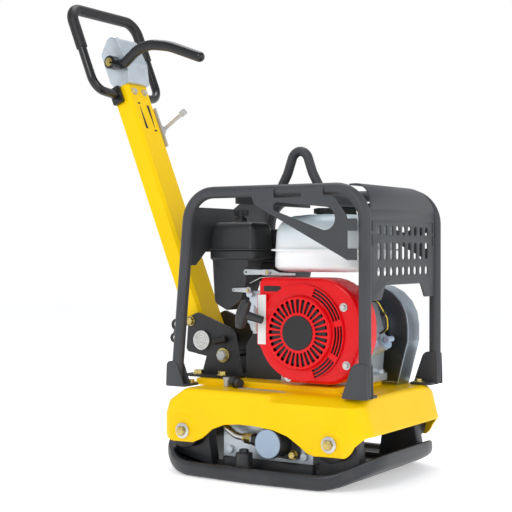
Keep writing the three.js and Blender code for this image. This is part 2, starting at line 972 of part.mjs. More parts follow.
function poleBracket() {
  const cheek = outline(
    [
      [pivotX - 44, 238, 6],
      [pivotX - 38, 311, 6],
      [pivotX - 15, 322, 5],
      [-138, 291, 6],
      [-128, 280, 6],
      [-110, bracketZ],
      [-212, bracketZ],
      [-199, 229],
    ],
    1,
  );
  const cheeks = [-1, 1].map((side) => {
    const y0 = side > 0 ? bracketInner : -bracketInner - bracketSheet;
    return alongY(cheek, y0, y0 + bracketSheet);
  });
  const foot = block(-232, -106, -90, 88, bracketZ, bracketZ + bracketFoot);
  const heads = [-80, 78].flatMap((y) =>
    [-202, -141].map((x) => bar([x, y, bracketZ + 5], [x, y, bracketZ + 14], 9, 6)),
  );
  const stop = barY(-155, 233, -bracketInner - 2, bracketInner + 2, 8, 12);
  const bore = barY(pivotX, pivotZ, -80, 80, pivotRadius + gap, 18);
  const spacers = [-1, 1].map((side) => {
    const ends = [side * (bracketInner + 1), side * (poleWidth / 2 + spacerRoom + gap)];
    return barY(pivotX, pivotZ, Math.min(...ends), Math.max(...ends), pivotRadius + 9, 18);
  });
  const stopWashers = [-1, 1].map((side) => {
    const face = side * (bracketInner + bracketSheet);
    const spans = [
      [face - side, face + side * 3, 15, 20],
      [face, face + side * 11, 10, 6],
    ];
    return join(
      ...spans.map(([a, b, r, n]) => barY(-155, 233, Math.min(a, b), Math.max(a, b), r, n)),
    );
  });
  const latchBolt = join(
    barY(latchX, latchZ, -bracketInner - bracketSheet - 7, -bracketInner - bracketSheet + 1, 9, 6),
    barY(latchX, latchZ, -bracketInner - 1, latchY1, 6, 12),
  );
  const made = join(...cheeks, ...spacers, foot, ...heads, stop, ...stopWashers, latchBolt);
  return cut(made, bore, hoseHole(100, 300));
}

function pivotPin() {
  const face = bracketInner + bracketSheet + gap;
  return join(
    barY(pivotX, pivotZ, -face - 1, face + 1, pivotRadius, 18),
    barY(pivotX, pivotZ, -face - 7, -face, 21, 20),
    barY(pivotX, pivotZ, face, face + 7, 21, 20),
  );
}

// The latch hangs on a bolt inside the right cheek and ends in two finger rings behind it.
function latchLever() {
  const y = [latchY0, latchY1];
  const arm = outline(
    [
      [latchX - 10, latchZ - 10],
      [latchX + 8, latchZ - 10],
      [latchX + 8, latchZ + 9],
      [latchX - 44, latchZ + 2],
      [latchX - 56, latchZ - 34],
      [latchX - 46, latchZ - 36],
      [latchX - 36, latchZ - 14],
    ],
    2,
  );
  const rings = [
    [latchX - 46, latchZ - 10, 13],
    [latchX - 51, latchZ - 39, 11],
  ];
  return cut(
    join(alongY(arm, ...y), ...rings.map(([x, z, r]) => barY(x, z, ...y, r, 16))),
    ...rings.map(([x, z, r]) => barY(x, z, y[0] - 1, y[1] + 1, r - 5, 12)),
    barY(latchX, latchZ, y[0] - 1, y[1] + 1, 6 + gap + 0.3, 16),
  );
}

// ---- centre pole, in the pole's own frame: origin on the pivot, z along the pole, x forward ------------
function poleSection(inset) {
  const front = poleFrontFace - inset;
  const back = poleFrontFace - poleDepth + inset;
  const y = poleWidth / 2 - inset;
  const bevel = 7;
  return outline([
    [back, -y, 0],
    [front - bevel, -y, 0],
    [front, -y + bevel, 0],
    [front, y - bevel, 0],
    [front - bevel, y, 0],
    [back, y, 0],
  ]);
}

function centrePole() {
  const walls = cut(
    alongZ(poleSection(0), -22, poleLength),
    alongZ(poleSection(poleSheet), -30, poleLength + 10),
  );
  const bossEnd = poleWidth / 2 + spacerRoom;
  const boss = barY(0, 0, -bossEnd, bossEnd, pivotRadius + 9, 18);
  const bore = barY(0, 0, -bracketInner, bracketInner, pivotRadius + gap, 18);
  const bolts = [-18, 18].map((y) =>
    bar([poleFrontFace - 1, y, poleLength - 17], [poleFrontFace + 5, y, poleLength - 17], 6.5, 6),
  );
  return cut(join(walls, boss, ...bolts), bore);
}

function controlHead() {
  const foot = poleLength + gap;
  const middle = poleFrontFace - poleDepth / 2 + 10;
  const back = middle - headDepth / 2;
  const front = middle + headDepth / 2;
  const shape = outline(
    [
      [back + 10, foot],
      [front - 12, foot],
      [front, foot + 46, 10],
      [front - 8, foot + headLength - 8, 12],
      [middle, foot + headLength, 8],
      [back, foot + headLength - 26, 12],
      [back, foot + 20, 10],
    ],
    3,
  );
  const half = headWidth / 2 - 2;
  const body = alongY(shape, -half, half);
  const spigot = poleSection(poleSheet + gap);
  return join(
    body,
    alongZ(spigot, poleLength - 24, foot + 2),
    bar([middle + 6, half - 1, foot + 60], [middle + 6, half + 10, foot + 60], 9, 16),
  );
}

// The lever's hub is on the head's near side; its bar runs forward, in the pole's own frame.
function shiftLever() {
  const x = -6;
  const y = -headWidth / 2 + 2 - gap;
  const hub = leverHubAt;
  return join(
    bar([x, y, hub], [x, y - 22, hub], leverHubRadius, 18),
    bar([x, y - 21, hub], [x, y - 28, hub], 7, 6),
    bent(
      [
        [x, y - 12, hub],
        [x + 26, y - 12, hub - 20, 16],
        [x + 92, y - 12, hub - 6, 50],
        [x + 156, y - 8, hub - 42, 90],
        [x + 224, y - 4, hub - 101],
      ],
      leverRadius,
      10,
      3,
    ),
  );
}

const handleX = poleFrontFace - 30;

function handleLoop() {
  const side = poleWidth / 2 + gap;
  return cut(
    join(
      bent(
        [
          [handleX, -side - 1, handleStart],
          [handleX, -handleHalfWidth, handleStart + 10, 34],
          [handleX, -handleHalfWidth, handleTop, 34],
          [handleX, handleHalfWidth, handleTop, 34],
          [handleX, handleHalfWidth, handleStart + 10, 34],
          [handleX, side + 1, handleStart],
        ],
        handleRadius,
        10,
        4,
      ),
      ...[-1, 1].map((s) =>
        block(handleX - 14, handleX + 14, Math.min(s * side, s * (side + 10)),
          Math.max(s * side, s * (side + 10)), handleStart - 20, handleStart + 20),
      ),
    ),
    block(handleX - 40, handleX + 40, -side, side, handleStart - 60, handleStart + 60),
  );
}

function handleSleeve() {
  const path = [
    [handleX, -handleHalfWidth, handleTop - 102],
    [handleX, -handleHalfWidth, handleTop, 34],
    [handleX, handleHalfWidth, handleTop, 34],
    [handleX, handleHalfWidth, handleTop - 102],
  ];
  return cut(bent(path, sleeveRadius, 10, 4), longerTube(path, handleRadius + tubeRoom));
}

// The same run a little longer at both ends, to bore a sleeve right through.
function longerTube(path, radius) {
  const first = path[0].slice();
  const last = path[path.length - 1].slice();
  first[2] -= 4;
  last[2] -= 4;
  return bent([first, ...path.slice(1, -1), last], radius, 10, 4);
}

function throttleBracket() {
  const y = poleWidth / 2 + gap;
  return join(
    block(poleFrontFace - 16, poleFrontFace + 2, y, y + 4, 462, 558),
    bar([poleFrontFace - 7, y + 3, 505], [poleFrontFace - 7, y + 8, 505], 10, 16),
  );
}

function throttleLever() {
  const y = poleWidth / 2 + gap + 8 + gap;
  const x = poleFrontFace - 7;
  return join(
    bar([x, y, 505], [x, y + 5, 505], 11, 16),
    bar([x, y + 5, 505], [x + 66, y + 5, 518], 4.5, 8),
    bar([x + 62, y + 5, 517.3], [x + 74, y + 5, 519.6], 7.5, 10),
  );
}

// ---- engine ----------------------------------------------------------------------------------------
function crankcase() {
  const foot = engineFoot;
  const body = outline(
    [
      [crankX - 88, foot],
      [crankX + 88, foot],
      [crankX + 88, foot + 14],
      [crankX + 78, foot + 18, 4],
      [crankX + 84, crankZ - 12, 30],
      [crankX + 60, crankZ + 66, 24],
      [crankX - 60, crankZ + 92, 12],
      [crankX - 84, crankZ + 40, 10],
      [crankX - 78, foot + 18, 4],
      [crankX - 88, foot + 14],
    ],
    3,
  );
  const casing = alongY(body, shroudBack + 4, 76);
  const cover = barY(crankX, crankZ, 75, 84, 34, 18);
  const neck = bar([crankX + 70, 30, crankZ - 46], [crankX + 104, 24, crankZ - 26], 15, 16);
  const feetBolts = [-1, 1].flatMap((s) =>
    [-44, 60].map((y) =>
      bar([crankX + s * 80, y, foot + 13], [crankX + s * 80, y, foot + 22], 8, 6),
    ),
  );
  const bore = join(
    barY(crankX, crankZ, shroudBack, 90, crankRadius + 6, 18),
    barY(crankX, crankZ, -34, 50, 48, 18),
  );
  return cut(join(casing, cover, neck, ...feetBolts), bore);
}

function oilCap() {
  const along = new THREE.Vector3(34, -6, 20).normalize();
  const at = (d) => [
    crankX + 104 + along.x * d,
    24 + along.y * d,
    crankZ - 26 + along.z * d,
  ];
  return join(
    bar(at(gap), at(9), 16, 12),
    bar(at(8), at(14), 9, 12),
    bar([at(17)[0], at(17)[1] - 13, at(17)[2]], [at(17)[0], at(17)[1] + 13, at(17)[2]], 6, 10),
  );
}

function crankshaft() {
  const web = outline([
    [crankX - 26, crankZ - 30, 8],
    [crankX + 26, crankZ - 30, 8],
    [crankX + 16, crankZ + 36, 8],
    [crankX - 16, crankZ + 36, 8],
  ]);
  return join(
    barY(crankX, crankZ, shroudFace + 14, -6, crankRadius, 20),
    barY(crankX, crankZ, 26, clutchY + 22, crankRadius, 20),
    alongY(web, -14, -2),
    alongY(web, 18, 30),
    barY(crankX, crankZ + 26, -4, 20, 12, 16),
  );
}

// A cast wheel behind the starter, with fan blades on its face.
function flywheelFan() {
  const back = shroudBack - 2;
  const face = back - 16;
  const blades = 8;
  const vanes = Array.from({ length: blades }, (_, i) => {
    const a = (TURN * i) / blades;
    return block(44, 82, -2, 2, 0, 22)
      .rotate([90, 0, 0])
      .rotate([0, (a * 360) / TURN, 0])
      .translate([crankX, face + 1, crankZ]);
  });
  return cut(
    join(barY(crankX, crankZ, face, back, 84, 20), ...vanes),
    barY(crankX, crankZ, face - 30, back + 1, crankRadius + gap, 20),
  );
}

function shroudOutline(inset) {
  const left = crankX - 101 + inset;
  const right = crankX + shroudRadius - inset;
  const foot = engineFoot + 6 + inset;
  const top = crankZ + shroudRise - inset;
  return outline(
    [
      [left, foot + 66, 12],
      [left + 62, foot, 34],
      [right - 34, foot, 60],
      [right, crankZ - 20, 70],
      [right, top, 92],
      [left, top, 14],
    ],
    4,
  );
}

function fanCover() {
  const shell = cut(
    alongY(shroudOutline(0), shroudFace, shroudBack),
    alongY(shroudOutline(3), shroudFace + 3, shroudBack + 1),
  );
  return cut(
    shell,
    barY(crankX, crankZ, shroudFace - 1, shroudFace + 10, recoilRadius - 6, 24),
    block(crankX - 98, crankX - 60, -140, -100, engineFoot - 10, engineFoot + 4),
  );
}

const grip = {
  guide: [crankX - 72, recoilFace + 3, crankZ + 20],
  direction: new THREE.Vector3(-0.86, -0.42, 0.29).normalize(),
};

function alongGrip(distance) {
  const d = grip.direction;
  return [
    grip.guide[0] + d.x * distance,
    grip.guide[1] + d.y * distance,
    grip.guide[2] + d.z * distance,
  ];
}

function recoilHousing() {
  const face = recoilFace;
  const back = shroudFace - gap;
  const dome = turnedY(
    [
      [0, face],
      [recoilDome - 4, face],
      [recoilDome, face + 5],
      [recoilDome, face + 10],
      [recoilRadius, face + 10],
      [recoilRadius, back],
      [0, back],
    ],
    crankX,
    crankZ,
    24,
  );
  const hollow = barY(crankX, crankZ, face + 3, back + 1, recoilDome - 3, 18);
  const slots = 18;
  const slits = Array.from({ length: slots }, (_, i) =>
    block(40, 66, -3, 3, -6, 6)
      .rotate([90, 0, 0])
      .rotate([0, (360 * i) / slots, 0])
      .translate([crankX, face, crankZ]),
  );
  const guide = bar(alongGrip(-10), alongGrip(8), 8, 12);
  const rope = bar(alongGrip(-30), alongGrip(9), 3.5, 8);
  return cut(join(cut(dome, hollow, ...slits), cut(guide, hollow)), rope);
}

function recoilReel() {
  return join(
    barY(crankX, crankZ, recoilFace + 4, recoilFace + 7, 62, 20),
    barY(crankX, crankZ, recoilFace + 6, recoilFace + 12, 46, 20),
    barY(crankX, crankZ, recoilFace + 11, recoilFace + 14, 62, 20),
  );
}

function recoilGrip() {
  const middle = alongGrip(52);
  const tee = new THREE.Vector3(0.36, -0.1, 0.92).normalize().multiplyScalar(31);
  const end = (s) => [middle[0] + s * tee.x, middle[1] + s * tee.y, middle[2] + s * tee.z];
  return join(
    bar(alongGrip(8 + gap), alongGrip(50), 8, 12, 10),
    bar(end(-1), end(0.02), 9, 12, 13),
    bar(end(-0.02), end(1), 13, 12, 9),
  );
}

function fuelTank() {
  const x0 = crankX - 88.5;
  const y0 = -105;
  const plan = (grow, radius) =>
    outline([
      [x0 - grow, y0 - grow, radius],
      [x0 + tankLength + grow, y0 - grow, radius],
      [x0 + tankLength + grow, y0 + tankWidth + grow, radius],
      [x0 - grow, y0 + tankWidth + grow, radius],
    ]);
  const seam = tankBottom + 44;
  const front = outline(
    [
      [x0 + 16, tankBottom, 14],
      [x0 + tankLength - 16, tankBottom, 14],
      [x0 + tankLength, seam, 0],
      [x0 + tankLength - 8, tankTop - 4, 24],
      [x0 + tankLength / 2, tankTop, 0],
      [x0 + 10, tankTop - 8, 26],
      [x0, seam, 0],
    ],
    4,
  );
  const body = alongY(front, y0, y0 + tankWidth).intersect(
    alongZ(plan(0, 34), tankBottom - 1, tankTop + 1),
  );
  const neck = bar([capX, 0, tankTop - 6], [capX, 0, tankTop + 2], 22, 18);
  return join(body, alongZ(plan(7, 38), seam - 2, seam + 2), neck);
}

function fuelCap() {
  const foot = tankTop + 2 + gap;
  const lugs = [0, 120, 240].map((a) =>
    block(18, 27, -5, 5, foot, foot + 11).rotate([0, 0, a]).translate([capX, 0, 0]),
  );
  return join(bar([capX, 0, foot], [capX, 0, foot + 12], 24, 18), ...lugs);
}

const airSeam = 455;

function airCleanerBase() {
  const x = airX;
  const y = airY;
  const plan = (hx, hy) =>
    outline([
      [x - hx, y - hy, 14],
      [x + hx, y - hy, 14],
      [x + hx, y + hy, 14],
      [x - hx, y + hy, 14],
    ]);
  const tray = alongZ(plan(57, 42), 437, airSeam);
  const duct = outline(
    [
      [x - 50, 438],
      [x - 44, 346, 14],
      [x - 12, 330, 10],
      [x + 22, 352, 8],
      [x + 34, 384, 8],
      [x + 40, 438],
    ],
    3,
  );
  return join(tray, alongY(duct, y - 36, y + 20));
}

function airCleanerCover() {
  const x = airX;
  const y = airY;
  const foot = airSeam + gap;
  const box = (hx, hy, z0, z1, r) =>
    alongZ(
      outline([
        [x - hx, y - hy, r],
        [x + hx, y - hy, r],
        [x + hx, y + hy, r],
        [x - hx, y + hy, r],
      ]),
      z0,
      z1,
    );
  return join(
    box(60, 45, foot, foot + 4, 16),
    box(56, 42, foot + 3, foot + 56, 16),
    box(50, 36, foot + 55, foot + 62, 16),
    bar([x, y, foot + 60], [x, y, foot + 68], 14, 20),
  );
}

function wingNut() {
  const foot = airSeam + gap + 68 + gap;
  return join(
    bar([airX, airY, foot], [airX, airY, foot + 12], 8, 12),
    block(airX - 17, airX + 17, airY - 3, airY + 3, foot + 4, foot + 17),
  );
}

function carburettor() {
  const x = airX + 1;
  const y = airY - 12;
  return join(
    block(x + 36, x + 72, y - 14, y + 14, 338, 372),
    bar([x + 42, y, 342], [x + 42, y, 306], 17, 18),
    bar([x + 42, y, 308], [x + 42, y, 290], 15, 18, 9),
    bar([x + 42, y, 292], [x + 42, y, 284], 6, 6),
    bar([x + 42, y - 13, 366], [x + 42, y - 26, 366], 7, 12),
  );
}

// A flat lever with a boss, turning about an axis along Y.
function flatLever(x, y, z, dx, dz) {
  const tip = [x + dx, z + dz];
  return join(
    barY(x, z, y - 4, y, leverBoss, 14),
    barY(tip[0], tip[1], y - 4, y, 5, 12),
    bar([x, y - 2, z], [tip[0], y - 2, tip[1]], 2, 8),
  );
}

function cylinderHead() {
  const x0 = crankX - 88;
  const fins = outline(
    [
      [x0 - 6, crankZ + 14],
      [x0 + 2, crankZ + 14],
      [x0 + 2, crankZ + 70],
      [x0 - 6, crankZ + 70],
    ],
  );
  const slabs = Array.from({ length: 5 }, (_, i) =>
    block(x0 - 34 + i * 7, x0 - 31 + i * 7, -42, 70, crankZ - 20, crankZ + 84 - 6 * (4 - i)),
  );
  return join(
    alongY(fins, -40, 68),
    block(x0 - 36, x0 - 1, -26, 54, crankZ - 8, crankZ + 52),
    ...slabs,
  ).subtract(block(x0 - headSeat, x0 + 40, -60, 80, crankZ - 60, crankZ + 120));
}

function muffler() {
  const shape = outline(
    [
      [-148, 388, 16],
      [-30, 388, 16],
      [-30, 500, 16],
      [-148, 500, 16],
    ],
    3,
  );
  return join(
    alongY(shape, 4, 98),
    bar([-120, 97, 410], [-132, 112, 398], 11, 14),
    bar([-60, 50, 366], [-60, 50, 390], 15, 14),
  );
}

function beltGuard() {
  const inset = (d) =>
    outline(
      [
        [driveX - 40 + d, bedTop + gap],
        [crankX + 104 - d, bedTop + gap],
        [crankX + 128 - d, crankZ - 26, 20],
        [crankX + 128 - d, crankZ + 90 - d, 84 - d],
        [crankX - 62 + d, crankZ + 90 - d, 84 - d],
        [crankX - 62 + d, crankZ - 10, 20],
      ],
      5,
    );
  return cut(alongY(inset(0), 92, 148), alongY(inset(3), 91, 145));
}

function clutchHub() {
  return cut(
    barY(crankX, crankZ, clutchY + 10, clutchY + 26, 46, 18),
    barY(crankX, crankZ, clutchY + 9, clutchY + 22.5, crankRadius + gap, 20),
  );
}

function clutchDrum() {
  const half = beltWidth / 2 + 3;
  const groove = clutchRadius - 7;
  return turnedY(
    [
      [crankRadius + 1, clutchY - half],
      [clutchRadius + 4, clutchY - half],
      [clutchRadius + 4, clutchY - half + 2],
      [groove, clutchY - 3],
      [groove, clutchY + 3],
      [clutchRadius + 4, clutchY + half - 2],
      [56, clutchY + half - 2],
      [56, clutchY + 28],
      [52, clutchY + 28],
      [52, clutchY + half],
      [crankRadius + 1, clutchY + half],
      [crankRadius + 1, clutchY - half],
    ],
    crankX,
    crankZ,
    20,
  );
}

function sparkPlugCap() {
  const x = crankX - 88 - 40;
  return join(
    bar([x, 10, crankZ + 20], [x - 24, 10, crankZ + 26], 9, 14),
    bar([x - 22, 10, crankZ + 25.5], [x - 22, 10, crankZ + 56], 8, 14),
  );
}

// ---- throttle cable --------------------------------------------------------------------------------
// It leaves the bracket beside the pole's foot and runs to the governor lever.
function throttleCable() {
  const y = bracketInner + bracketSheet + 12;
  return bent(
    [
      [-176, y, bracketZ + bracketFoot + gap],
      [-176, y, 340, 40],
      [-168, -2, 420, 30],
      [-168, -14, 430, 10],
      [-30, -14, 430],
    ],
    cableRadius,
    8,
    3,
  );
}

// ---- assembly --------------------------------------------------------------------------------------
add("base_plate", basePlate(), cast);
for (const [end, x] of [["rear", -mountX], ["front", mountX]]) {
  for (const [hand, side] of [["right", -1], ["left", 1]]) {
    add(`rubber_mount_${end}_${hand}`, rubberMount(x, side), rubber);
    add(`mount_bolt_${end}_${hand}`, mountBolt(x, side), zinc);
  }
}
add("exciter_housing", exciterHousing(), alloy);
add(
  "exciter_cover_right",
  join(exciterCover(exciterRight, exciterRight + exciterWall, [driveX, drivenX]),
    ...coverBolts(exciterRight, -1)),
  alloy,
);
add(
  "exciter_cover_left",
  join(exciterCover(exciterLeft - exciterWall, exciterLeft, [driveX, drivenX]),
    ...coverBolts(exciterLeft, 1)),
  alloy,
);
add("drive_shaft", eccentricShaft(driveX, 0, exciterRight + 4, clutchY + beltWidth / 2 - 3), steel);
add("driven_shaft", eccentricShaft(drivenX, 0.5, exciterRight + 4, exciterLeft - 2), steel);
add("exciter_pulley", exciterPulley(), steel);
add("shift_cylinder", shiftCylinder(), cast);
add("shift_pipe", shiftPipe(), zinc);
add("shift_hose", shiftHose(), rubber);
add("engine_bed", engineBed(), yellow);
add("guard_hoop_right", guardHoop(-1), black);
add("guard_hoop_left", guardHoop(1), black);
add("guard_panel_front", frontPanel(), black);
add("guard_panel_rear", rearPanel(), black);
add("guard_plate_right", sidePlate(-1), black);
add("guard_plate_left", sidePlate(1), black);
add("lifting_eye", liftingBar(), black);
add("pole_bracket", poleBracket(), black);
add("pole_pivot_pin", pivotPin(), zinc);
add("pole_latch", latchLever(), black);
add("centre_pole", centrePole(), yellow, poleGroup);
add("control_head", controlHead(), alloy, poleGroup);
add("shift_lever", shiftLever(), black, poleGroup);
add("handle_loop", handleLoop(), black, poleGroup);
add("handle_sleeve", handleSleeve(), rubber, poleGroup);
add("throttle_bracket", throttleBracket(), zinc, poleGroup);
add("throttle_lever", throttleLever(), zinc, poleGroup);
add("crankcase", crankcase(), alloy);
add("throttle_cable", throttleCable(), rubber);
add("oil_cap", oilCap(), plastic);
add("crankshaft", crankshaft(), steel);
add("flywheel_fan", flywheelFan(), alloy);
add("fan_cover", fanCover(), red);
add("recoil_housing", recoilHousing(), red);
add("recoil_reel", recoilReel(), plastic);
add("recoil_grip", recoilGrip(), plastic);
add("fuel_tank", fuelTank(), white);
add("fuel_cap", fuelCap(), plastic);
add("air_cleaner_base", airCleanerBase(), plastic);
add("air_cleaner_cover", airCleanerCover(), plastic);
add("air_cleaner_nut", wingNut(), plastic);
add("carburettor", carburettor(), alloy);
add("choke_lever", flatLever(airX + 43, airY - 38.6, 374, -34, 0), zinc);
add("governor_lever", flatLever(crankX - 90, -106, governorZ, -52, 2), zinc);
add("cylinder_head", cylinderHead(), alloy);
add("spark_plug_cap", sparkPlugCap(), rubber);
add("muffler", muffler(), black);
add("belt_guard", beltGuard(), zinc);
add("clutch_hub", clutchHub(), steel);
add("clutch_drum", clutchDrum(), steel);
add("drive_belt", driveBelt(), rubber);

export default group;
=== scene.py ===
"""A reversible plate compactor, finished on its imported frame. Metres, +X forward, +Y left, +Z up."""

import json
import math

import bmesh
import bpy
import numpy as np
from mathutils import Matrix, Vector


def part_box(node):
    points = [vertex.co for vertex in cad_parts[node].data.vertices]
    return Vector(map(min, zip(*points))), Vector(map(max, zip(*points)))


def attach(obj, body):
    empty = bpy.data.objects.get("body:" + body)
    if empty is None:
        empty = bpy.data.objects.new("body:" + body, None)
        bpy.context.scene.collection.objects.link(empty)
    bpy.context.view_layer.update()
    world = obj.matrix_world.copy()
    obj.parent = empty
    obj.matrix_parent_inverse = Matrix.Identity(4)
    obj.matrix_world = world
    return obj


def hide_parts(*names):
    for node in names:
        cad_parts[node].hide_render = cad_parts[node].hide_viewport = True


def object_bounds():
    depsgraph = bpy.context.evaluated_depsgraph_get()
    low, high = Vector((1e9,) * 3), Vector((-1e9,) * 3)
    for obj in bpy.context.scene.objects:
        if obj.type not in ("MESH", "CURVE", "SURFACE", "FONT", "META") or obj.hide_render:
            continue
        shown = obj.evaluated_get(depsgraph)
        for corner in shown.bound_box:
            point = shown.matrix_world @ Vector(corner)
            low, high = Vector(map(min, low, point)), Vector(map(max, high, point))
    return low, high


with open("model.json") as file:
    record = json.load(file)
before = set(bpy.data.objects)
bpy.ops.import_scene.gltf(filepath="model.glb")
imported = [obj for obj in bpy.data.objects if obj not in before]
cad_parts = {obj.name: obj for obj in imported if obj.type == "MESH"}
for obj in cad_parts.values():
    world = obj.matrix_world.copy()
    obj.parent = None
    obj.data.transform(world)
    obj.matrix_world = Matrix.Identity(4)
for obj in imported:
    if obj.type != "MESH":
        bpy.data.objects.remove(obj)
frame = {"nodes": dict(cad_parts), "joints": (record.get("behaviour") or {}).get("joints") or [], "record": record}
cad_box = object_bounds()
MM = 0.001
TURN = 2 * math.pi
FORWARD, LEFT, RIGHT, UP = (1, 0, 0), (0, 1, 0), (0, -1, 0), (0, 0, 1)
JOINT = {joint["name"]: joint for joint in frame["joints"]}

# ---- shapes as arrays --------------------------------------------------------------------------------


def rounded(corners, steps=8):
    """Outline through corners [x, y, radius]: at each one a circular arc tangent to both sides."""
    at = np.array([c[:2] for c in corners], float)
    radius = np.array([c[2] if len(c) > 2 else 0 for c in corners], float)
    back = np.roll(at, 1, 0) - at
    on = np.roll(at, -1, 0) - at
    back /= np.linalg.norm(back, axis=1)[:, None]
    on /= np.linalg.norm(on, axis=1)[:, None]
    half = np.arccos(np.clip((back * on).sum(1), -1, 1)) / 2
    reach = np.where(radius > 0, radius / np.tan(half), 0)
    share = np.linspace(0, 1, steps + 1)[None, :, None]
    sweep = (math.pi - 2 * half)[:, None, None] * share
    side = on - back * (on * back).sum(1)[:, None]
    side /= np.linalg.norm(side, axis=1)[:, None]
    start = at + back * reach[:, None]
    r = radius[:, None, None]
    arc = start[:, None] - back[:, None] * r * np.sin(sweep) + side[:, None] * r * (1 - np.cos(sweep))
    parts = [arc[i] if radius[i] > 0 else at[i : i + 1] for i in range(len(at))]
    return np.concatenate(parts)


def rectangle(left, right, foot, top, radius, steps=8):
    """A rectangle with round corners."""
    corners = [[left, foot], [right, foot], [right, top], [left, top]]
    return rounded([[*corner, radius] for corner in corners], steps)


def circle(x, y, radius, count=40, first=0.0):
    """Points at equal angles on a circle."""
    a = first + np.linspace(0, TURN, count, endpoint=False)
    return np.stack([x + radius * np.cos(a), y + radius * np.sin(a)], 1)


def bent_path(corners, steps=10):
    """Centre line through corners [x, y, z, radius]: straight runs joined by tangent arcs."""
    at = np.array([c[:3] for c in corners], float)
    runs = [at[:1]]
    for i in range(1, len(at) - 1):
        into = (at[i] - at[i - 1]) / np.linalg.norm(at[i] - at[i - 1])
        out = (at[i + 1] - at[i]) / np.linalg.norm(at[i + 1] - at[i])
        angle = math.acos(np.clip(into @ out, -1, 1))
        radius = corners[i][3]
        side = out - into * (out @ into)
        side /= np.linalg.norm(side)
        a = np.linspace(0, angle, steps + 1)[:, None]
        start = at[i] - into * radius * math.tan(angle / 2)
        runs.append(start + into * radius * np.sin(a) + side * radius * (1 - np.cos(a)))
    return np.concatenate(runs + [at[-1:]])


def quads(rows, columns, wrap_rows=False):
    """Faces of a grid of rows of points whose columns close on themselves."""
    count = rows if wrap_rows else rows - 1
    i, j = np.meshgrid(np.arange(count), np.arange(columns), indexing="ij")
    down = (i + 1) % rows
    right = (j + 1) % columns
    made = np.stack([i * columns + j, i * columns + right, down * columns + right, down * columns + j], -1)
    return made.reshape(-1, 4).tolist()


def stacked(loops, caps=True):
    """A skin over loops with as many points each; the first and last are closed by flat faces."""
    loops = np.array(loops, float)
    rows, columns = loops.shape[:2]
    faces = quads(rows, columns)
    if caps:
        faces += [list(range(columns))[::-1], list(range((rows - 1) * columns, rows * columns))]
    return loops.reshape(-1, 3), faces


def tube(path, radius, sides=28, ref=LEFT, edge=0.0006):
    """A circle carried along a path; its ends step in by edge. The radius may vary along the path."""
    path = np.asarray(path, float)
    along = np.gradient(path, axis=0)
    along /= np.linalg.norm(along, axis=1)[:, None]
    radii = np.broadcast_to(np.asarray(radius, float), len(path)).copy()
    first, last = path[0] + along[0] * edge, path[-1] - along[-1] * edge
    path = np.concatenate([path[:1], [first], path[1:-1], [last], path[-1:]])
    along = np.concatenate([along[:1], along[:1], along[1:-1], along[-1:], along[-1:]])
    radii = np.concatenate([[radii[0] - edge, radii[0]], radii[1:-1], [radii[-1], radii[-1] - edge]])
    side = np.array(ref, float) - along * (along @ np.array(ref, float))[:, None]
    side /= np.linalg.norm(side, axis=1)[:, None]
    up = np.cross(along, side)
    a = np.linspace(0, TURN, sides, endpoint=False)[None, :, None]
    ring = side[:, None] * np.cos(a) + up[:, None] * np.sin(a)
    return stacked(path[:, None] + radii[:, None, None] * ring)


def round_ended(path, radius):
    """A tube whose far end runs out into half a sphere: its radius falls with the cosine of the angle."""
    way = (path[-1] - path[-2]) / np.linalg.norm(path[-1] - path[-2])
    a = np.linspace(0.25, math.pi / 2 * 0.94, 8)
    cap = path[-1] + way * radius * np.sin(a)[:, None]
    radii = np.concatenate([np.full(len(path), radius), radius * np.cos(a)])
    return tube(np.concatenate([path, cap]), radii, 32, edge=0.0004)


def basis(axis):
    """Two unit vectors square to an axis."""
    axis = np.array(axis, float) / np.linalg.norm(axis)
    ref = np.array([0.0, 0.0, 1.0]) if abs(axis[2]) < 0.9 else np.array([1.0, 0.0, 0.0])
    one = np.cross(ref, axis)
    one /= np.linalg.norm(one)
    return axis, one, np.cross(axis, one)


def turned(profile, at, axis=LEFT, sides=56, ring=False, first=0.0):
    """A profile [radius, height] turned about an axis through at; a ring's profile closes on itself."""
    axis, one, two = basis(axis)
    profile = np.array(profile, float)
    a = first + np.linspace(0, TURN, sides, endpoint=False)[None, :, None]
    spoke = one * np.cos(a) + two * np.sin(a)
    points = np.array(at) + profile[:, 0, None, None] * spoke + profile[:, 1, None, None] * axis
    if ring:
        return points.reshape(-1, 3), quads(len(profile), sides, wrap_rows=True)
    return stacked(points)


def chamfered(radius, low, high, edge):
    """Profile of a round bar with a small chamfer at each end."""
    return [[radius - edge, low], [radius, low + edge], [radius, high - edge], [radius - edge, high]]


def plate(outer, holes, depth, edge=0.0005):
    """A flat sheet in X and Y, 0 to depth in Z, from an outline and its holes, with rounded edges."""
    curve = bpy.data.curves.new("outline", "CURVE")
    curve.dimensions = "2D"
    curve.fill_mode = "BOTH"
    curve.extrude = depth / 2 - edge
    curve.bevel_depth = edge
    curve.bevel_resolution = 1
    curve.offset = -edge
    for loop in [outer, *holes]:
        spline = curve.splines.new("POLY")
        spline.points.add(len(loop) - 1)
        flat = np.concatenate([loop, np.zeros((len(loop), 1)), np.ones((len(loop), 1))], 1)
        spline.points.foreach_set("co", flat.ravel())
        spline.use_cyclic_u = True
    holder = bpy.data.objects.new("outline", curve)
    bpy.context.scene.collection.objects.link(holder)
    mesh = bpy.data.meshes.new_from_object(holder)
    bpy.data.objects.remove(holder)
    merge(mesh)
    points = np.empty(len(mesh.vertices) * 3)
    mesh.vertices.foreach_get("co", points)
    faces = [list(p.vertices) for p in mesh.polygons]
    bpy.data.meshes.remove(mesh)
    return points.reshape(-1, 3) + [0, 0, depth / 2], faces


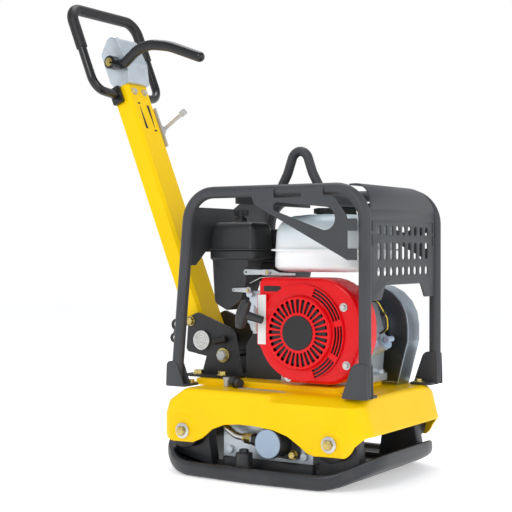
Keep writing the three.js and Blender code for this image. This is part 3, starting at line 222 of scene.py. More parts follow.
def merge(mesh, distance=2e-6, flatten=False):
    """Joins points that lie together, and if asked also faces that lie in one plane."""
    work = bmesh.new()
    work.from_mesh(mesh)
    bmesh.ops.remove_doubles(work, verts=work.verts, dist=distance)
    if flatten:
        bmesh.ops.dissolve_limit(work, angle_limit=0.01, verts=work.verts, edges=work.edges)
    bmesh.ops.recalc_face_normals(work, faces=work.faces)
    work.to_mesh(mesh)
    work.free()


def together(*shapes):
    """Several shapes as one list of points and faces."""
    points, faces, count = [], [], 0
    for p, f in shapes:
        points.append(np.asarray(p, float))
        faces += [[v + count for v in face] for face in f]
        count += len(p)
    return np.concatenate(points), faces


def on_y(shape, y):
    """A flat sheet turned so that its outline lies in X and Z and its depth runs along Y from y."""
    p, f = shape
    return np.stack([p[:, 0], y + p[:, 2], p[:, 1]], 1), f


def hex_head(at, axis, radius, height, sides=6):
    """A bolt head: a six-sided bar with a chamfered crown."""
    edge = radius * 0.12
    return turned([[radius, 0], [radius, height - edge], [radius - edge, height]], at, axis, sides)


def washer(at, axis, radius, bore, thickness):
    """A flat ring."""
    e = thickness * 0.2
    return turned(
        [[bore, 0], [radius - e, 0], [radius, e], [radius, thickness - e], [radius - e, thickness],
         [bore, thickness]], at, axis, 40, ring=True)


def bolt(at, axis, radius=0.0085, height=0.0055, seat=0.013):
    """A bolt head on a washer, standing on a surface."""
    axis = np.array(axis, float) / np.linalg.norm(axis)
    at = np.array(at, float)
    return together(
        washer(at, axis, seat, radius * 0.4, 0.0016),
        hex_head(at + axis * 0.0016, axis, radius, height),
    )


# ---- finishes ----------------------------------------------------------------------------------------


class Value:
    """A node's output on which arithmetic adds Math nodes."""

    def __init__(self, finish, socket):
        self.finish = finish
        self.socket = socket

    def math(self, operation, *others, clamp=False):
        settings = {"operation": operation, "use_clamp": clamp}
        return self.finish.node("ShaderNodeMath", settings, *[self, *others])

    def __add__(self, other):
        return self.math("ADD", other)

    def __mul__(self, other):
        return self.math("MULTIPLY", other)

    def __sub__(self, other):
        return self.math("SUBTRACT", other)

    def __rsub__(self, other):
        return self.finish.node("ShaderNodeMath", {"operation": "SUBTRACT"}, other, self)

    __radd__ = __add__
    __rmul__ = __mul__

    def between(self, low, high):
        """Rises from 0 to 1 as the value goes from low to high."""
        return ((self - low) * (1 / (high - low))).math("MULTIPLY", 1, clamp=True)


class Finish:
    """A material with one Principled shader, built up from Object coordinates."""

    def __init__(self, name):
        self.material = bpy.data.materials.new(name)
        self.material.use_nodes = True
        self.tree = self.material.node_tree
        self.shader = self.tree.nodes["Principled BSDF"]
        self.place = self.node("ShaderNodeTexCoord", {}, output="Object")

    def node(self, kind, settings, *values, output=0, **named):
        """Adds a node, sets its settings, then links or fills its sockets in order or by name."""
        made = self.tree.nodes.new(kind)
        for key, setting in settings.items():
            setattr(made, key, setting)
        for key, value in [*enumerate(values), *named.items()]:
            self.link(made.inputs[key.replace("_", " ") if isinstance(key, str) else key], value)
        return Value(self, made.outputs[output])

    def link(self, socket, value):
        if isinstance(value, Value):
            self.tree.links.new(value.socket, socket)
        else:
            socket.default_value = value

    def feed(self, **inputs):
        """Links values to the shader's own sockets."""
        for key, value in inputs.items():
            self.link(self.shader.inputs[key.replace("_", " ")], value)

    def noise(self, scale, detail=3.0, rough=0.5, place=None):
        return self.node("ShaderNodeTexNoise", {}, Vector=place or self.place, Scale=scale,
                         Detail=detail, Roughness=rough)

    def stretched(self, scale):
        return self.node("ShaderNodeVectorMath", {"operation": "MULTIPLY"}, self.place, scale)

    def mix(self, share, one, two):
        made = self.tree.nodes.new("ShaderNodeMix")
        made.data_type = "RGBA"
        for index, value in ((0, share), (6, one), (7, two)):
            self.link(made.inputs[index], value)
        return Value(self, made.outputs[2])

    def bump(self, height, strength, distance):
        return self.node("ShaderNodeBump", {}, Strength=strength, Distance=distance, Height=height,
                         output="Normal")

    def height(self):
        return self.node("ShaderNodeSeparateXYZ", {}, self.place, output="Z")


def rgb(red, green, blue):
    """A screen colour, 0 to 255, as linear light with alpha."""
    share = np.array([red, green, blue]) / 255
    return (*np.where(share <= 0.04045, share / 12.92, ((share + 0.055) / 1.055) ** 2.4).tolist(), 1.0)


def paint(name, colour, worn, roughness, coat=0.0, grain=1100, grain_height=0.00006, dust=None, shine=0.5):
    """Paint: slow changes of tone, a fine skin texture, small rubbed spots and dust near the ground."""
    f = Finish(name)
    slow = f.noise(9, 4)
    rubbed = f.noise(46, 6, 0.65).between(0.68, 0.74)
    tone = f.mix(slow.between(0.3, 0.75) * 0.5, colour, worn)
    tone = f.mix(rubbed * 0.35, tone, worn)
    if dust:
        low = (1 - f.height().between(0.0, 0.16)) * f.noise(22, 5).between(0.5, 0.8)
        tone = f.mix(low * 0.12, tone, dust)
    rough = slow * 0.12 + rubbed * 0.15 + (roughness - 0.06)
    f.feed(Base_Color=tone, Roughness=rough, Normal=f.bump(f.noise(grain, 2), 0.25, grain_height))
    f.shader.inputs["Coat Weight"].default_value = coat
    f.shader.inputs["Coat Roughness"].default_value = 0.12
    f.shader.inputs["Specular IOR Level"].default_value = shine
    return f.material


def metal(name, colour, stained, roughness, lines=(1, 1, 1), cast=False, metallic=1.0):
    """Metal: fine lines along one way, or a cast skin, with faint stains that are rougher."""
    f = Finish(name)
    scratch = f.noise(700, 2, 0.6, f.stretched(lines))
    stain = f.noise(30, 5, 0.6).between(0.45, 0.75)
    tone = f.mix(stain * 0.5, colour, stained)
    tone = f.mix(scratch.between(0.4, 0.7) * 0.25, tone, stained)
    skin = f.noise(420, 4, 0.7) if cast else scratch
    deep = 0.0003 if cast else 0.00003
    f.feed(Base_Color=tone, Roughness=stain * 0.14 + scratch * 0.1 + (roughness - 0.08),
           Normal=f.bump(skin, 0.4, deep))
    f.shader.inputs["Metallic"].default_value = metallic
    return f.material


def plastic(name, colour, pale, roughness, grain=900, deep=0.00008):
    """Moulded plastic or rubber: a stippled skin, with pale handling marks."""
    f = Finish(name)
    marks = f.noise(38, 6, 0.6).between(0.5, 0.8)
    f.feed(Base_Color=f.mix(marks * 0.4, colour, pale), Roughness=marks * 0.15 + (roughness - 0.03),
           Normal=f.bump(f.noise(grain, 2), 0.35, deep))
    return f.material


def tank_plastic(low, high):
    """Milky moulded tank with faint moulding waves, and a painted cool shade that makes it bluer and deeper
    towards its top.
    """
    f = Finish("tank_milk")
    share = f.height().between(low, high)
    wave = f.noise(14, 3)
    # painted cool shade: the colour turns from near white to a bluer, darker grey with height, towards the tank's
    # top
    tone = f.mix(share.between(0.45, 1.0), rgb(246, 250, 250), rgb(206, 226, 236))
    tone = f.mix(wave.between(0.4, 0.8) * 0.25, tone, rgb(214, 226, 230))
    f.feed(Base_Color=tone, Roughness=wave * 0.12 + 0.24, Normal=f.bump(f.noise(60, 2), 0.1, 0.0006))
    f.shader.inputs["Subsurface Weight"].default_value = 0.25
    f.shader.inputs["Subsurface Radius"].default_value = (0.01, 0.01, 0.012)
    return f.material


DUST = rgb(150, 138, 118)
YELLOW = paint("bed_yellow", rgb(252, 208, 0), rgb(244, 196, 0), 0.34, coat=0.05, dust=DUST, shine=0.14)
RED = paint("engine_red_gloss", rgb(232, 4, 18), rgb(204, 4, 14), 0.28, coat=0.2, grain_height=0.00003,
            shine=0.2)
GRAPHITE = paint("graphite_powder", rgb(58, 60, 63), rgb(76, 78, 81), 0.46, grain=1500, grain_height=0.0002,
                 shine=0.35)
BLACK = paint("black_powder", rgb(30, 31, 33), rgb(44, 45, 48), 0.45, grain=1500, grain_height=0.0002)
HANDLE = paint("handle_black_gloss", rgb(14, 15, 17), rgb(24, 25, 28), 0.26, coat=0.25, grain=1500,
               shine=0.4)
CAST = paint("cast_black_paint", rgb(34, 36, 40), rgb(58, 61, 66), 0.38, grain=330, grain_height=0.0006,
             dust=DUST)
ALLOY = metal("cast_alloy_skin", rgb(206, 216, 224), rgb(158, 168, 176), 0.36, cast=True, metallic=0.7)
ZINC = metal("zinc_plating", rgb(208, 208, 206), rgb(160, 160, 156), 0.26, lines=(1, 1, 6))
GOLD_ZINC = metal("yellow_zinc_plating", rgb(206, 186, 112), rgb(164, 150, 110), 0.28)
STEEL = metal("machined_steel_skin", rgb(150, 152, 155), rgb(108, 110, 112), 0.32, lines=(1, 8, 1))
GUARD = metal("satin_guard_sheet", rgb(162, 174, 184), rgb(148, 160, 170), 0.38, lines=(0.2, 1, 0.2))
PALE = paint("pale_blue_grey", rgb(158, 178, 198), rgb(142, 162, 182), 0.5)
RUBBER = plastic("black_rubber", rgb(18, 18, 20), rgb(40, 40, 42), 0.5, grain=500, deep=0.0002)
MOULDED = plastic("black_moulding", rgb(38, 39, 41), rgb(56, 57, 60), 0.4, grain=1300)
DULL_ZINC = metal("dull_zinc_plating", rgb(196, 200, 203), rgb(150, 152, 152), 0.42, metallic=0.45)
LABEL = plastic("blank_label", rgb(226, 228, 226), rgb(206, 208, 208), 0.45, grain=300, deep=0.00002)
BLACK_LOW = plastic("starter_disc_black", rgb(18, 18, 20), rgb(32, 32, 34), 0.36)
WIRE_YELLOW = plastic("yellow_wire_sleeve", rgb(232, 202, 30), rgb(206, 178, 30), 0.45)
tank_low, tank_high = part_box("fuel_tank")
TANK = tank_plastic(tank_low.z, tank_high.z)

# ---- putting pieces in -------------------------------------------------------------------------------


def piece(name, shape, material, body, stands_for=(), angle=35, bevel=0.0):
    """Makes a named piece from points and faces, with soft shading up to an angle in degrees."""
    points, faces = shape
    mesh = bpy.data.meshes.new(name)
    mesh.from_pydata(np.asarray(points).tolist(), [], faces)
    merge(mesh)
    return finished(name, mesh, material, body, stands_for, angle, bevel)


def finished(name, mesh, material, body, stands_for, angle, bevel):
    """Shades a mesh, gives it its finish and body, and rounds its edges by bevel."""
    mesh.polygons.foreach_set("use_smooth", np.ones(len(mesh.polygons), bool))
    mesh.set_sharp_from_angle(angle=math.radians(angle))
    mesh.materials.clear()
    mesh.materials.append(material)
    made = bpy.data.objects.new(name, mesh)
    bpy.context.scene.collection.objects.link(made)
    if bevel:
        rounding = made.modifiers.new("rounding", "BEVEL")
        rounding.width = bevel
        rounding.segments = 3
        rounding.limit_method = "ANGLE"
        rounding.angle_limit = math.radians(angle)
        rounding.harden_normals = True
    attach(made, body)
    if stands_for:
        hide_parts(*stands_for)
    return made


BODY_OF = {node: body for body, nodes in frame["record"]["behaviour"]["bodies"].items() for node in nodes}


def eased(node, material, bevel=0.0012, angle=28):
    """A merged copy of a plain node with its edges rounded, in the node's place."""
    mesh = frame["nodes"][node].data.copy()
    merge(mesh, 2e-5, flatten=True)
    return finished(node + "_eased", mesh, material, BODY_OF[node], (node,), angle, bevel)


def stand_in(name, shape, material, node, angle=35, bevel=0.0):
    """A piece that takes a node's place and its body."""
    return piece(name, shape, material, BODY_OF[node], (node,), angle, bevel)


def detail(name, shape, material, body="machine", slot=None, angle=35, bevel=0.0):
    """A small piece that stands for no node; its slot argument is not used."""
    return piece(name, shape, material, body, (), angle, bevel)


# ---- the pole's own frame ----------------------------------------------------------------------------
LEAN = math.radians(JOINT["pole_fold"]["range_deg"][1])
PIVOT = np.array(JOINT["pole_fold"]["pos_m"])
ACROSS = np.array([math.cos(LEAN), 0, math.sin(LEAN)])
ALONG = np.array([-math.sin(LEAN), 0, math.cos(LEAN)])


def on_pole(points):
    """Points given as forward, left and along the pole, in the object's frame."""
    p = np.asarray(points, float)
    return PIVOT + p[..., :1] * ACROSS + p[..., 1:2] * np.array([0, 1, 0]) + p[..., 2:3] * ALONG


def pole_shape(shape):
    """A shape whose points are given in the pole's own directions."""
    return on_pole(shape[0]), shape[1]


# ---- cage --------------------------------------------------------------------------------------------
def hoop(hand, side):
    """One bent tube of the cage: two posts and a rail on one centre line, with welded shoes and tabs."""
    low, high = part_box("guard_hoop_" + hand)
    radius = 12 * MM
    y = side * 161 * MM
    foot = low.z + 4 * MM
    top = high.z - radius
    bend = 62 * MM
    sheet = 4 * MM
    shoe_room = 9.2 * MM
    rear, front = -202, 234
    line = bent_path([[rear * MM, y, foot, 0], [-167 * MM, y, top, bend], [front * MM, y, top, bend],
                      [front * MM, y, foot, 0]])
    stand_in("cage_tube_" + hand, tube(line, radius, 32), GRAPHITE, "guard_hoop_" + hand)
    for end, x, corners in (
        ("rear", rear, [[-18, 0, 3], [28, 0, 3], [8, 52, 12], [-16, 52, 10]]),
        ("front", front, [[-44, 0, 3], [12, 0, 3], [10, 68, 8], [-20, 68, 16]]),
    ):
        flat = rounded([[(x + dx) * MM, low.z + dz * MM, r * MM] for dx, dz, r in corners])
        faces = [y + shoe_room, y - shoe_room - sheet][:: side]
        for which, at in zip(("outer", "inner"), faces):
            name = f"cage_shoe_{end}_{hand}_{which}"
            detail(name, on_y(plate(flat, [], sheet, 0.0008), at), GRAPHITE)
        near, away = sorted([y + side * radius, y - side * 40 * MM])
        tab = [[(x - 18) * MM, near, 4 * MM], [(x + 30) * MM, near, 6 * MM],
               [(x + 30) * MM, away, 6 * MM], [(x - 18) * MM, away, 4 * MM]]
        if end == "front":
            tab = [[px - 22 * MM, py, r] for px, py, r in tab]
        p, f = plate(rounded(tab), [], 5 * MM, 0.001)
        detail(f"cage_tab_{end}_{hand}", (p + [0, 0, low.z], f), GRAPHITE)
        spot = [(x + (16 if end == "rear" else -24)) * MM, y - side * 27 * MM, low.z + 5 * MM]
        detail(f"cage_bolt_{end}_{hand}", bolt(spot, UP), GOLD_ZINC)


def slot_hole(x, y, width, height):
    """An upright slot with half-round ends."""
    across, up = width / 2, height / 2
    return rectangle(x - across, x + across, y - up, y + up, across * 0.96, 6)


def front_panel():
    """A sheet with three rows of slots, rolled over the top: past its fold, height turns into angle."""
    low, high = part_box("guard_panel_front")
    roll = 50 * MM
    sheet = 3 * MM
    face = high.x - sheet
    fold = high.z - roll
    half = high.y
    rise = roll * math.pi / 2
    foot = low.z
    outer = rounded([
        [-half, foot, 3 * MM], [-100 * MM, foot, 6 * MM], [-81 * MM, 388 * MM, 8 * MM],
        [81 * MM, 388 * MM, 8 * MM], [100 * MM, foot, 6 * MM], [half, foot, 3 * MM],
        [half, 532 * MM, 3 * MM], [104 * MM, fold + rise + 20 * MM, 10 * MM],
        [-104 * MM, fold + rise + 20 * MM, 10 * MM], [-half, 532 * MM, 3 * MM]])
    rows = [(494, 19), (454, 35), (414.5, 18)]
    holes = [slot_hole(k * 27.2 * MM, z * MM, 14 * MM, tall * MM) for z, tall in rows for k in range(-4, 5)]
    holes += [slot_hole(s * (half - 9 * MM), z * MM, 3 * MM, 22 * MM) for s in (-1, 1) for z in (475, 502)]
    p, f = plate(outer, holes, sheet)
    mesh = bpy.data.meshes.new("flat_panel")
    mesh.from_pydata(p.tolist(), [], f)
    work = bmesh.new()
    work.from_mesh(mesh)
    for cut in np.linspace(fold, fold + rise, 13):
        geometry = work.verts[:] + work.edges[:] + work.faces[:]
        bmesh.ops.bisect_plane(work, geom=geometry, plane_co=(0, cut, 0), plane_no=(0, 1, 0))
    work.to_mesh(mesh)
    work.free()
    flat = np.array([v.co for v in mesh.vertices])
    faces = [list(q.vertices) for q in mesh.polygons]
    bpy.data.meshes.remove(mesh)
    angle = np.clip((flat[:, 1] - fold) / roll, 0, math.pi / 2)
    over = np.maximum(flat[:, 1] - fold - rise, 0)
    reach = roll - sheet + flat[:, 2]
    x = face + flat[:, 2] - reach * (1 - np.cos(angle)) - over
    z = np.minimum(flat[:, 1], fold) + reach * np.sin(angle)
    rolled = np.stack([x, flat[:, 0], z], 1)
    stand_in("front_panel_rolled", (rolled, faces), GRAPHITE, "guard_panel_front", angle=32)


def side_plate(hand, side):
    """The cut sheet on a hoop's outside, with its long tear-shaped window."""
    low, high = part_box("guard_plate_" + hand)
    rail, post = 561, 204
    outer = rounded([[px * MM, pz * MM, r * MM] for px, pz, r in (
        (-8, 577, 3), (42, 577, 2), (42, rail - 3, 2), (104, rail - 3, 2), (104, 577, 2), (152, 577, 3),
        (152, rail, 2), (176, rail - 3, 24), (post, 520, 30), (post, 515, 1), (post + 20, 515, 2),
        (post + 20, 492, 2), (post, 492, 1), (post, 459, 1), (post + 20, 459, 2), (post + 20, 437, 2),
        (post, 437, 3), (-2, 545, 6), (-8, 558, 6))], 6)
    lean = math.atan2(516 - 540, 156 - 50)
    spread = math.acos((9 - 22) / math.hypot(106, 24))
    start, stop = lean + spread, lean + TURN - spread
    a = np.linspace(start, stop, 20)
    b = np.linspace(-spread, spread, 24) + lean
    window = np.concatenate([
        np.stack([0.05 + 0.009 * np.cos(a), 0.54 + 0.009 * np.sin(a)], 1),
        np.stack([0.156 + 0.022 * np.cos(b), 0.516 + 0.022 * np.sin(b)], 1)])
    sheet = 3 * MM
    y = low.y if side < 0 else high.y - sheet
    stand_in("side_plate_" + hand, on_y(plate(outer, [window], sheet), y), GRAPHITE, "guard_plate_" + hand)


def cage():
    """The two hoops, the sheets between them and the lifting eye: a bent bar on a folded channel."""
    for hand, side in (("right", -1), ("left", 1)):
        hoop(hand, side)
        side_plate(hand, side)
    front_panel()
    eased("guard_panel_rear", GRAPHITE)
    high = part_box("lifting_eye")[1]
    bar = 10 * MM
    top = high.z - bar
    foot = 576 * MM
    line = bent_path([
        [-0.052, 0, foot, 0], [-0.03, 0, top - 0.04, 0.06], [-0.014, 0, top + 0.006, 0.022],
        [0.014, 0, top + 0.006, 0.022], [0.03, 0, top - 0.04, 0.06], [0.052, 0, foot, 0]])
    half = high.y
    section = rounded([[px * MM, pz * MM, r * MM] for px, pz, r in (
        (-65, 549, 1), (-65, 579, 7), (65, 579, 7), (65, 549, 1), (60, 549, 1), (60, 574, 4),
        (-60, 574, 4), (-60, 549, 1))], 5)
    level = np.ones(len(section))
    p = np.stack([np.stack([section[:, 0], y * level, section[:, 1]], 1) for y in (-half, half)])
    stand_in("lifting_eye_bar", tube(line, bar, 32), GRAPHITE, "lifting_eye")
    detail("lifting_channel", stacked(p), GRAPHITE, bevel=0.0006)


# ---- base, bed and exciter ---------------------------------------------------------------------------
MOUNT_X, MOUNT_Z = 170 * MM, 88 * MM
BED_TOP, APRON_START = 0.175, 0.15
RIM, FLOOR = 0.03, 0.016


def plate_lift(x):
    """How far the sole rises at x: flat in the middle, then an arc into a straight turned-up end."""
    past = np.maximum(np.abs(x) - 0.148, 0)
    bend = 0.055
    slope = 0.5
    return np.where(past < bend, slope * past**2 / (2 * bend), slope * (past - bend / 2))


def plan_of_plate(inset):
    """The plate's plan: long sides swell at the middle, corners are big arcs."""
    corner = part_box("base_plate")[1]
    bow = 0.016
    r = 0.12 - inset
    x, y = corner.x - inset, corner.y - inset
    return rounded([[-x, -y + bow, r], [0, -y, 0.5], [x, -y + bow, r], [x, y - bow, r], [0, y, 0.5],
                    [-x, y - bow, r]], 12)


def base_plate():
    """A dished casting: plan loops at [inset, height] run under the sole, over the rim and the floor."""
    section = [[0.02, 0.0], [0.008, 0.0008], [0.002, 0.004], [0.0, 0.010], [0.0, 0.022], [0.0015, 0.0275],
               [0.005, RIM], [0.010, RIM], [0.0135, 0.0275], [0.016, 0.0215], [0.019, 0.0175],
               [0.026, FLOOR]]
    loops = []
    for shrink in (0.15, 0.4, 0.65, 0.85):
        flat = plan_of_plate(0.02) * shrink
        loops.append(np.stack([*flat.T, plate_lift(flat[:, 0])], 1))
    for inset, height in section:
        flat = plan_of_plate(inset)
        loops.append(np.stack([*flat.T, plate_lift(flat[:, 0]) + height], 1))
    for shrink in (0.85, 0.65, 0.4, 0.15):
        flat = plan_of_plate(0.026) * shrink
        loops.append(np.stack([*flat.T, plate_lift(flat[:, 0]) + FLOOR], 1))
    stand_in("base_plate_cast", stacked(loops), CAST, "base_plate", angle=50)
    web_depth = 30 * MM
    for hand, side in (("right", -1), ("left", 1)):
        for end, x in (("rear", -MOUNT_X), ("front", MOUNT_X)):
            left, right = 0.012 + plate_lift(np.array([x - 0.048, x + 0.048]))
            flat = rounded([[x - 0.048, left, 0.001], [x + 0.048, right, 0.001],
                            [x + 0.032, MOUNT_Z + 0.032, 0.028], [x - 0.032, MOUNT_Z + 0.032, 0.028]], 12)
            y = side * 146.4 * MM - (web_depth if side > 0 else 0)
            detail(f"mount_tower_{end}_{hand}", on_y(plate(flat, [], web_depth, 0.004), y), CAST)
        rib = [[-0.17, side * 0.12 - 0.006, 0.014], [0.17, side * 0.12 + 0.006, 0.026]]
        detail(f"floor_rib_{hand}", moulding(rib[0], rib[1], 0.005, [[0, 0], [0, 0.7], [0.002, 1]]), CAST)
    low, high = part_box("exciter_housing")
    pad = [[low.x - 0.004, -0.134, 0.013], [high.x + 0.004, 0.094, low.z - 0.0003]]
    detail("exciter_pad", moulding(pad[0], pad[1], 0.01, [[0, 0], [0, 0.85], [0.002, 1]]), CAST)
    boss_top = 0.054
    stem = [[0.020, 0.013], [0.0175, 0.022], [0.017, 0.052], [0.0155, boss_top]]
    boss = together(
        turned(stem, [-0.03, -0.17, 0], UP), hex_head([-0.03, -0.17, boss_top], UP, 0.0095, 0.007))
    detail("plate_boss", boss, CAST, angle=30)


def apron_edge(x, y, half):
    """Height of the bed's lower edge: two lobes and an arch along the sides, level across the ends."""
    knots = np.array([
        [-221, 118], [-212, 100], [-205, 82], [-196, 70], [-182, 65.5], [-140, 66], [-120, 76], [-98, 96],
        [-70, 107], [-35, 110.5], [0, 110], [45, 106], [78, 96], [104, 80], [122, 67], [136, 63.5], [198, 65],
        [207, 74], [214, 88], [228, 101], [246, 104]]) * MM
    side = np.interp(x, knots[:, 0], knots[:, 1])
    ends = np.where(x > 0, 0.104, 0.118)
    share = np.clip((np.abs(y) - (half - 0.03)) / 0.024, 0, 1)
    share = share * share * (3 - 2 * share)
    return ends + (side - ends) * share


def bed_loop(z):
    """The bed's plan at heights z, one per point: sloping front and rear, bevelled front shoulders."""
    low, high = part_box("engine_bed")
    front, rear, half = high.x, low.x, high.y
    base = rounded([[rear, -half, 0.02], [front, -half, 0.042], [front, half, 0.042],
                    [rear, half, 0.02]], 14)
    dense = []
    for a, b in zip(base, np.roll(base, -1, 0)):
        count = max(1, int(np.linalg.norm(b - a) / 0.0045))
        dense.append(a + (b - a) * np.linspace(0, 1, count, endpoint=False)[:, None])
    flat = np.concatenate(dense)
    x, y = flat.T
    z = np.broadcast_to(z, x.shape) if np.ndim(z) == 0 else z
    nose = 0.018 * np.clip((z - 0.108) / (BED_TOP - 0.108), 0, 1)
    tail = np.interp(z, [0.12, 0.147, BED_TOP], [0.0, 0.009, 0.052])
    toward = np.clip((x - rear) / (front - rear), 0, 1)
    x = np.where(x > 0, x - nose * np.clip((toward - 0.75) / 0.25, 0, 1), x)
    x = np.where(x < 0, x + tail * np.clip((0.25 - toward) / 0.25, 0, 1), x)
    shoulder = np.clip((x - 0.022) / 0.03, 0, 1)
    shoulder = shoulder * shoulder * (3 - 2 * shoulder)
    drop = np.clip((z - 0.159) / 0.016, 0, 1) * 0.024 * shoulder
    y = np.sign(y) * (np.abs(y) - drop * (np.abs(y) / half))
    for mount in (-MOUNT_X, MOUNT_X):
        away = np.hypot(x - mount, np.maximum(z - MOUNT_Z, 0))
        ridge = np.clip(1 - np.abs(away - 0.028) / 0.009, 0, 1) * (np.abs(y) > half - 0.002)
        y = y + np.sign(y) * 0.0026 * ridge * ridge * (3 - 2 * ridge)
    return x, y, z


def engine_bed():
    """A drawn steel cover: loops from the flat top round the edge and down to the apron's lower edge."""
    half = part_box("engine_bed")[1].y
    loops = []
    edge = 0.007
    for inset in (0.10, 0.05, 0.02, 0.01):
        x, y, z = bed_loop(BED_TOP)
        scale = [1 - inset / 0.2, 1 - inset / 0.18]
        loops.append(np.stack([x * scale[0], y * scale[1], z], 1))
    for t in np.linspace(0, math.pi / 2, 8):
        x, y, z = bed_loop(BED_TOP - edge * (1 - math.sin(math.pi / 2 - t)))
        pull = edge * (1 - math.cos(math.pi / 2 - t))
        span = np.hypot(x, y)
        loops.append(np.stack([x - x / span * pull, y - y / span * pull, z], 1))
    for z in np.linspace(0.166, 0.152, 5):
        loops.append(np.stack(bed_loop(z), 1))
    x, y = bed_loop(APRON_START)[:2]
    low_edge = apron_edge(x, y, half)
    for share in np.linspace(0, 1, 34):
        z = APRON_START + (low_edge - APRON_START) * share
        loops.append(np.stack(bed_loop(z), 1))
    points, faces = stacked(loops, caps=False)
    columns = len(loops[0])
    faces.append(list(range(columns)))
    shell = stand_in("engine_bed_drawn", (points, faces), YELLOW, "engine_bed", angle=32)
    wall = shell.modifiers.new("sheet", "SOLIDIFY")
    wall.thickness = 0.004
    wall.offset = -1
    low = [-0.195, -0.11, 0.174]
    high = [0.15, 0.09, 0.187]
    seat = moulding(low, high, 0.014, [[0, 0], [0, 0.7], *quarter(0.003, 0.72, 1.0, False)])
    detail("engine_seat", seat, YELLOW, angle=40)
    # painted shade: each slit is a thin black strip on the bed top standing for the shade inside it
    for number, y in enumerate((-0.1, -0.062)):
        p, f = plate(rectangle(0.15, 0.205, y - 0.001, y + 0.001, 0.0009, 3), [], 0.001, 0.0001)
        detail(f"bed_slit_painted_shade_{number + 1}", (p + [0, 0, 0.1747], f), BLACK_LOW)


def base_and_bed():
    """The base, the bed and the four mounts: a waisted rubber, a washer and a bolt, each turned."""
    base_plate()
    engine_bed()
    for end in ("rear", "front"):
        for hand, side in (("right", -1), ("left", 1)):
            low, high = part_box(f"rubber_mount_{end}_{hand}")
            x, z = (low.x + high.x) / 2, (low.z + high.z) / 2
            inner = side * 146.7 * MM
            profile = [[0.034, 0], [0.036, 0.002], [0.036, 0.007], [0.0325, 0.0165], [0.036, 0.026],
                       [0.036, 0.031], [0.034, 0.033]]
            stand_in(f"mount_{end}_{hand}", turned(profile, [x, inner, z], (0, side, 0)), RUBBER,
                     f"rubber_mount_{end}_{hand}", angle=50)
            face = side * 184.3 * MM
            disc = turned([[0.0155, 0], [0.016, 0.0006], [0.016, 0.0025], [0.0152, 0.003]], [x, face, z],
                          (0, side, 0))
            stand_in(f"mount_washer_{end}_{hand}", disc, ZINC, f"mount_bolt_{end}_{hand}")
            head = together(
                hex_head([x, face + side * 0.003, z], (0, side, 0), 0.0105, 0.0075),
                turned([[0.0075, 0], [0.0075, 0.0006], [0.0068, 0.001]], [x, face + side * 0.0105, z],
                       (0, side, 0)))
            detail(f"mount_bolt_head_{end}_{hand}", head, GOLD_ZINC)


def exciter():
    """The exciter, its drive, and the shift cylinder with its pipe, collar, nut and bolt."""
    for node in ("exciter_housing", "exciter_cover_right", "exciter_cover_left"):
        eased(node, ALLOY, bevel=0.002)
    for node in ("drive_shaft", "driven_shaft", "exciter_pulley", "clutch_hub", "clutch_drum", "crankshaft"):
        eased(node, STEEL, bevel=0.0006)
    eased("drive_belt", RUBBER)
    eased("shift_cylinder", CAST, bevel=0.0012)
    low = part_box("shift_cylinder")[0]
    shaft = JOINT["driven_turn"]["pos_m"]
    cap = turned([[0.0285, 0], [0.0285, 0.0018], [0.0272, 0.003]], [shaft[0], low.y + 0.001, shaft[2]],
                 RIGHT)
    detail("shift_cylinder_cap", cap, PALE)
    eased("shift_pipe", ZINC, bevel=0.0006, angle=40)
    start = np.array([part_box("shift_pipe")[1].x - 0.001, -0.156, shaft[2]])
    way = np.array([-1, 0, 0.1]) / math.hypot(1, 0.1)
    knurl = [[0.0122 - 0.0006 * (i % 2), 0.0016 * i] for i in range(12)]
    collar = turned(knurl, start + way * 0.001, way, 48)
    detail("hose_collar", collar, BLACK, slot="zinc_plate", angle=20)
    nut = turned(chamfered(0.0118, 0, 0.016, 0.0012), start + way * 0.0205, way, 6)
    detail("hose_nut", nut, GOLD_ZINC, angle=20)
    ring = turned(chamfered(0.0094, 0, 0.004, 0.0006), start + way * 0.0368, way, 40)
    detail("hose_ring", ring, GOLD_ZINC, angle=20)
    flange_bolt = bolt([shaft[0] + 0.034, -0.1393, shaft[2] - 0.024], RIGHT, 0.0082, 0.0075, 0.0098)
    detail("shift_flange_bolt", flange_bolt, GOLD_ZINC)
    eased("shift_hose", RUBBER, bevel=0.0004, angle=40)


